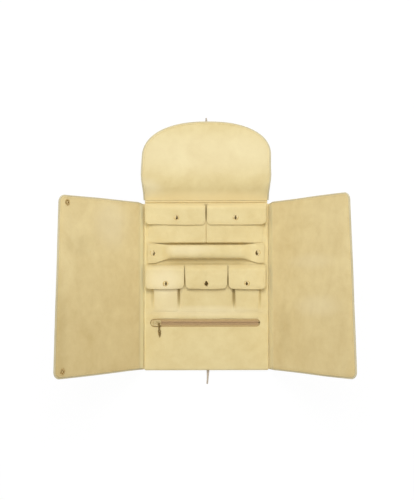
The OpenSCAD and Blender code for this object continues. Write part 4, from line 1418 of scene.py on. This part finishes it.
# half length and half width of the slider's parts and of a stop, and their places
slider = {"plate": (0.0075, 0.0050), "under": (0.0065, 0.0040), "rail": (0.0045, 0.0006),
          "wedge": (0.0015, 0.0003), "lug": (0.0005, 0.0012), "stop": (0.0006, 0.0025),
          "railOut": 0.0040, "wedgeBack": 0.0035, "lugOut": 0.0024, "stopIn": 0.0013, "thick": 0.0011,
          "underLow": 0.0044, "underTop": 0.0054, "wedgeLow": 0.0050, "pinch": 0.12}
sides = {1: "Upper", -1: "Lower"}


def makeTape(side):
    x0, x1 = panel["zipX"] - zipper["tapeHalf"], panel["zipX"] + zipper["tapeHalf"]
    y0, y1 = sorted((panel["zipY"] + side * zipper["gap"] / 2, panel["zipY"] + side * zipper["tapeWidth"]))
    rows = spread(y1 - y0, [0, 0.0001, 0.0003, 0.0008], 8) + y0
    across = spread(x1 - x0, [0, 0.0001, 0.0003, 0.001], 90) + x0
    grid = np.array([[(x, y) for x in across] for y in rows])
    away = edgeDistance(grid)
    x, y = grid[..., 0], grid[..., 1]
    center = zipper["tapeTop"] - zipper["tapeThick"] / 2 + 0.00004 * ripple(x, y, 401 + side, 0.02)
    half = zipper["tapeThick"] / 2 * rim(away, 0.0003) - 0.00004
    makePiece("zipTape" + sides[side], faceSkin(x, y, center + half, center - half), "panel", tape,
              ("zip_tape_" + sides[side].lower(),))


def coilLoop(x, side):
    rings = []
    for share in np.linspace(0, 1, 9):
        turn = math.pi * share
        out = zipper["gap"] / 2 + zipper["coil"] + zipper["coil"] * 1.45 * -math.cos(turn)
        up = zipper["tapeTop"] - 0.0001 + (zipper["coil"] - zipper["wire"]) * math.sin(turn) ** 0.8
        center = np.array([x + 0.0005 * (share - 0.5), panel["zipY"] + side * out, up])
        outward = np.array([0, -side * math.cos(turn), math.sin(turn)])
        wide = zipper["wire"] * (1.35 - 0.35 * abs(math.cos(turn)))
        rings.append([center + math.cos(a) * wide * np.array([1.0, 0, 0])
                      + math.sin(a) * zipper["wire"] * outward for a in fullTurn(7)])
    return tube(rings)


def makeCoil(side):
    first = panel["zipX"] - zipper["coilHalf"]
    loops = [coilLoop(first + (number + (0.5 if side > 0 else 0.0)) * zipper["pitch"] + 0.0004, side)
             for number in range(int(2 * zipper["coilHalf"] / zipper["pitch"]))]
    makePiece("zipCoil" + sides[side], joined(loops), "panel", coilNylon,
              ("zip_coil_" + sides[side].lower(),))
    line = np.linspace(panel["zipX"] - zipper["stitchHalf"], panel["zipX"] + zipper["stitchHalf"], 120)
    return flatRun(line, panel["zipY"] + side * zipper["stitchOut"], zipper["tapeTop"] - 0.00002)


def plate(outline, low, high, bevel):
    outline = np.asarray(outline)
    center = outline.mean(axis=0)
    size = np.abs(outline - center).max()
    rings = []
    for z, inset in ((low, bevel), (low + bevel * 0.3, bevel * 0.3), (low + bevel, 0), (high - bevel, 0),
                     (high - bevel * 0.3, bevel * 0.3), (high, bevel)):
        rings.append([(*(center + (spot - center) * (1 - inset / size)), z) for spot in outline])
    return tube(rings)


def superOutline(halfX, halfY, power, count=40, spot=(0, 0), pinch=0.0):
    outline = []
    for turn in fullTurn(count):
        c, s = math.cos(turn), math.sin(turn)
        x = halfX * math.copysign(abs(c) ** (2 / power), c)
        y = halfY * math.copysign(abs(s) ** (2 / power), s) * (1 - pinch * (0.5 - 0.5 * x / halfX))
        outline.append((spot[0] + x, spot[1] + y))
    return outline


def makeZip():
    for side in sides:
        makeTape(side)
    sewn = [makeCoil(side) for side in sides]
    makePiece("zipStitches", joined(sewn), "panel", tape)
    tapeTop, x, y, low = zipper["tapeTop"], zipper["sliderX"], panel["zipY"], zipper["sliderLow"]
    pinX, pinY, pinZ = zipper["pinX"], y + zipper["pinY"], low + zipper["pinLift"]
    ends = [panel["zipX"] + sign * (zipper["length"] / 2 - slider["stopIn"]) for sign in (-1, 1)]
    stops = [plate(superOutline(*slider["stop"], 4, 24, (end, y)), tapeTop, tapeTop + slider["thick"],
                   0.00022) for end in ends]
    brassPiece("zipStops", joined(stops), "panel", ("zip_stops",), satinBrass)
    top = plate(superOutline(*slider["plate"], 3.0, 48, (x, y), slider["pinch"]), low,
                low + slider["thick"], 0.0003)
    rails = [plate(superOutline(*slider["rail"], 4, 24, (x, y + side * slider["railOut"])),
                   tapeTop + 0.0003, low + 0.0002, 0.00012) for side in (-1, 1)]
    under = plate(superOutline(*slider["under"], 3.0, 40, (x, y), slider["pinch"]), slider["underLow"],
                  slider["underTop"], 0.00025)
    wedge = plate(superOutline(*slider["wedge"], 3.0, 20, (x - slider["wedgeBack"], y)),
                  slider["wedgeLow"], low + 0.0002, 0.00005)
    lugs = [plate(superOutline(*slider["lug"], 3.0, 20, (pinX + side * slider["lugOut"], pinY)),
                  low + 0.0009, low + zipper["pinLift"] + 0.0010, 0.0002) for side in (-1, 1)]
    pin = tube([[(pinX + px, pinY + r * math.cos(a), pinZ + r * math.sin(a)) for a in fullTurn(16)]
                for px, r in ((-0.0027, 0.0004), (-0.0026, 0.0007), (0.0026, 0.0007), (0.0027, 0.0004))])
    brassPiece("zipSlider", joined([top, under, wedge, pin] + rails + lugs), "zip_slider", ("slider",),
               softBrass, 35)


# the pull hangs from its eye: place along it, half width and half thickness of each ring
pull = {
    "eye": [(-0.0016, 0.0016), (-0.0013, 0.0019), (0.0013, 0.0019), (0.0016, 0.0016), (0.0016, 0.0011),
            (-0.0016, 0.0011)],
    "stem": [(-0.0013, 0.0009, 0.0005), (-0.003, 0.0012, 0.00055), (-0.006, 0.0012, 0.0006),
             (-0.0083, 0.0014, 0.0006), (-0.0092, 0.0016, 0.00055)],
    "drop": [(-0.0118, 0.0013, 0.0005), (-0.0126, 0.0020, 0.0006), (-0.0140, 0.0022, 0.0006),
             (-0.0160, 0.0017, 0.0006), (-0.0180, 0.0011, 0.0005), (-0.0194, 0.0007, 0.0004),
             (-0.0200, 0.0003, 0.0002)],
    "ringY": -0.0105, "ringRadius": 0.0018, "ringWire": 0.0006, "low": -0.0013,
}


def makePull():
    droop = math.radians(zipper["droop"])
    origin = np.array([zipper["pinX"], panel["zipY"] + zipper["pinY"],
                       zipper["sliderLow"] + zipper["pinLift"]])

    def local(x, y, z):
        return origin + np.array([x + zipper["lean"] * -y, y * math.cos(droop) - z * math.sin(droop),
                                  y * math.sin(droop) + z * math.cos(droop)])

    def bars(sections, power):
        return tube([[local(wide * math.copysign(abs(math.cos(a)) ** power, math.cos(a)), y,
                            pull["low"] + thick * math.sin(a)) for a in fullTurn(20)]
                     for y, wide, thick in sections])
    eye = [[local(x, r * math.cos(a), r * math.sin(a)) for a in fullTurn(28)] for x, r in pull["eye"]]
    ring = []
    for turn in fullTurn(36):
        c, s = math.cos(turn), math.sin(turn)
        reach = [(pull["ringRadius"] + pull["ringWire"] * math.cos(a), a) for a in fullTurn(12)]
        ring.append([local(c * far, pull["ringY"] + s * far, pull["low"] + pull["ringWire"] * math.sin(a))
                     for far, a in reach])
    mesh = joined([tube(eye, closed=True), bars(pull["stem"], 0.6), tube(ring, closed=True),
                   bars(pull["drop"], 1.0)])
    brassPiece("zipPull", mesh, "zip_pull", ("slider_pull",), satinBrass, 40)


makeZip()
makePull()
print("zip made")

# ---- snaps on the wings
wingSnap = {
    "out": 0.156, "side": 0.114,
    "socket": [(0, -0.0006), (0.0040, -0.0006), (0.0044, -0.0001), (0.0044, 0.0004), (0.0041, 0.00085),
               (0.0034, 0.0010), (0.0028, 0.00085), (0.0024, 0.0005), (0.0023, 0.00015), (0, 0.0001)],
    "spring": [(0.0017, 0.00012), (0.0021, 0.00012), (0.0021, 0.0007), (0.0017, 0.0007),
               (0.0017, 0.00012)],
    "stud": [(0, -0.0004), (0.0042, -0.0004), (0.0042, 0.0003), (0.0038, 0.0006), (0.0022, 0.0006),
             (0.0019, 0.0007), (0.00185, 0.0010), (0.0020, 0.0012), (0.0019, 0.0014), (0.0013, 0.0015),
             (0, 0.0015)],
}


def onLeaf(way, s, y, side, mesh):
    at, give = wingAt[way], wingGives[way]
    s, y = np.array(s), np.array(y)
    lift, shift, along = give(s, y)
    s = s + along
    spot = at(s, y + shift, side * case["leafHalf"] + lift)
    up = at(s, y + shift, side * (case["leafHalf"] + 0.001) + lift) - spot
    up = up / np.linalg.norm(up)
    ahead = at(s + 0.001, y + shift, side * case["leafHalf"] + lift) - spot
    ahead = ahead - up * float(ahead @ up)
    ahead = ahead / np.linalg.norm(ahead)
    across = np.cross(up, ahead)
    points, faces = mesh
    return [spot + ahead * p[0] + across * p[1] + up * p[2] for p in points], faces


def wingPair(name, way, s, side, mesh, finish, nodeName):
    parts = [onLeaf(way, s, sign * wingSnap["side"], side, mesh) for sign in (-1, 1)]
    brassPiece(name, joined(parts), way + "_wing", (nodeName,), finish)


wingPair("wingSockets", "left", case["leftSpine"] + wingSnap["out"], 1,
         joined([lathe(wingSnap["socket"]), lathe(wingSnap["spring"])]), agedBrass, "wing_left_snaps")
wingPair("wingStuds", "right", case["rightSpine"] + 2 * sideFold - wingSnap["out"], -1,
         lathe(wingSnap["stud"]), brass, "wing_right_studs")

# ---- inner and outside pieces that keep their solids
for name, finish in (("back_cover", leather), ("centre_board", board), ("centre_foam", foam),
                     ("zip_bag", tape)):
    for slot in bpy.data.objects[name].material_slots:
        slot.material = finish

# ---- dark card over the case, seen only in the polished caps
darkCard = {"spot": (0.03, -0.06, 1.0), "radius": 0.30, "strip": (0.15, 1.0)}


def makeCard():
    wide, long = darkCard["strip"]
    turns = fullTurn(32)
    disc = [(darkCard["radius"] * math.cos(turn), darkCard["radius"] * math.sin(turn), 0) for turn in turns]
    strip = [(-wide, -long, 0.001), (wide, -long, 0.001), (wide, long, 0.001), (-wide, long, 0.001)]
    data = bpy.data.meshes.new("darkCard")
    data.from_pydata(disc + strip, [], [tuple(range(32)), (32, 33, 34, 35)])
    card = bpy.data.objects.new("darkCard", data)
    bpy.context.scene.collection.objects.link(card)
    card.location = place(*darkCard["spot"])
    return card


card = makeCard()
card.visible_camera = card.visible_diffuse = card.visible_shadow = card.visible_transmission = False
made, tree = newMaterial("darkCard")
finishOff(tree, {"Base Color": (0.13, 0.09, 0.04, 1), "Roughness": 0.9})
card.data.materials.append(made)

# ---- floor
bpy.ops.mesh.primitive_plane_add(size=8, location=(0, 0, -0.0002))
floor = bpy.context.object
floor.name = "studioFloor"
floor.data.materials.append(floorFinish("paleFloor"))
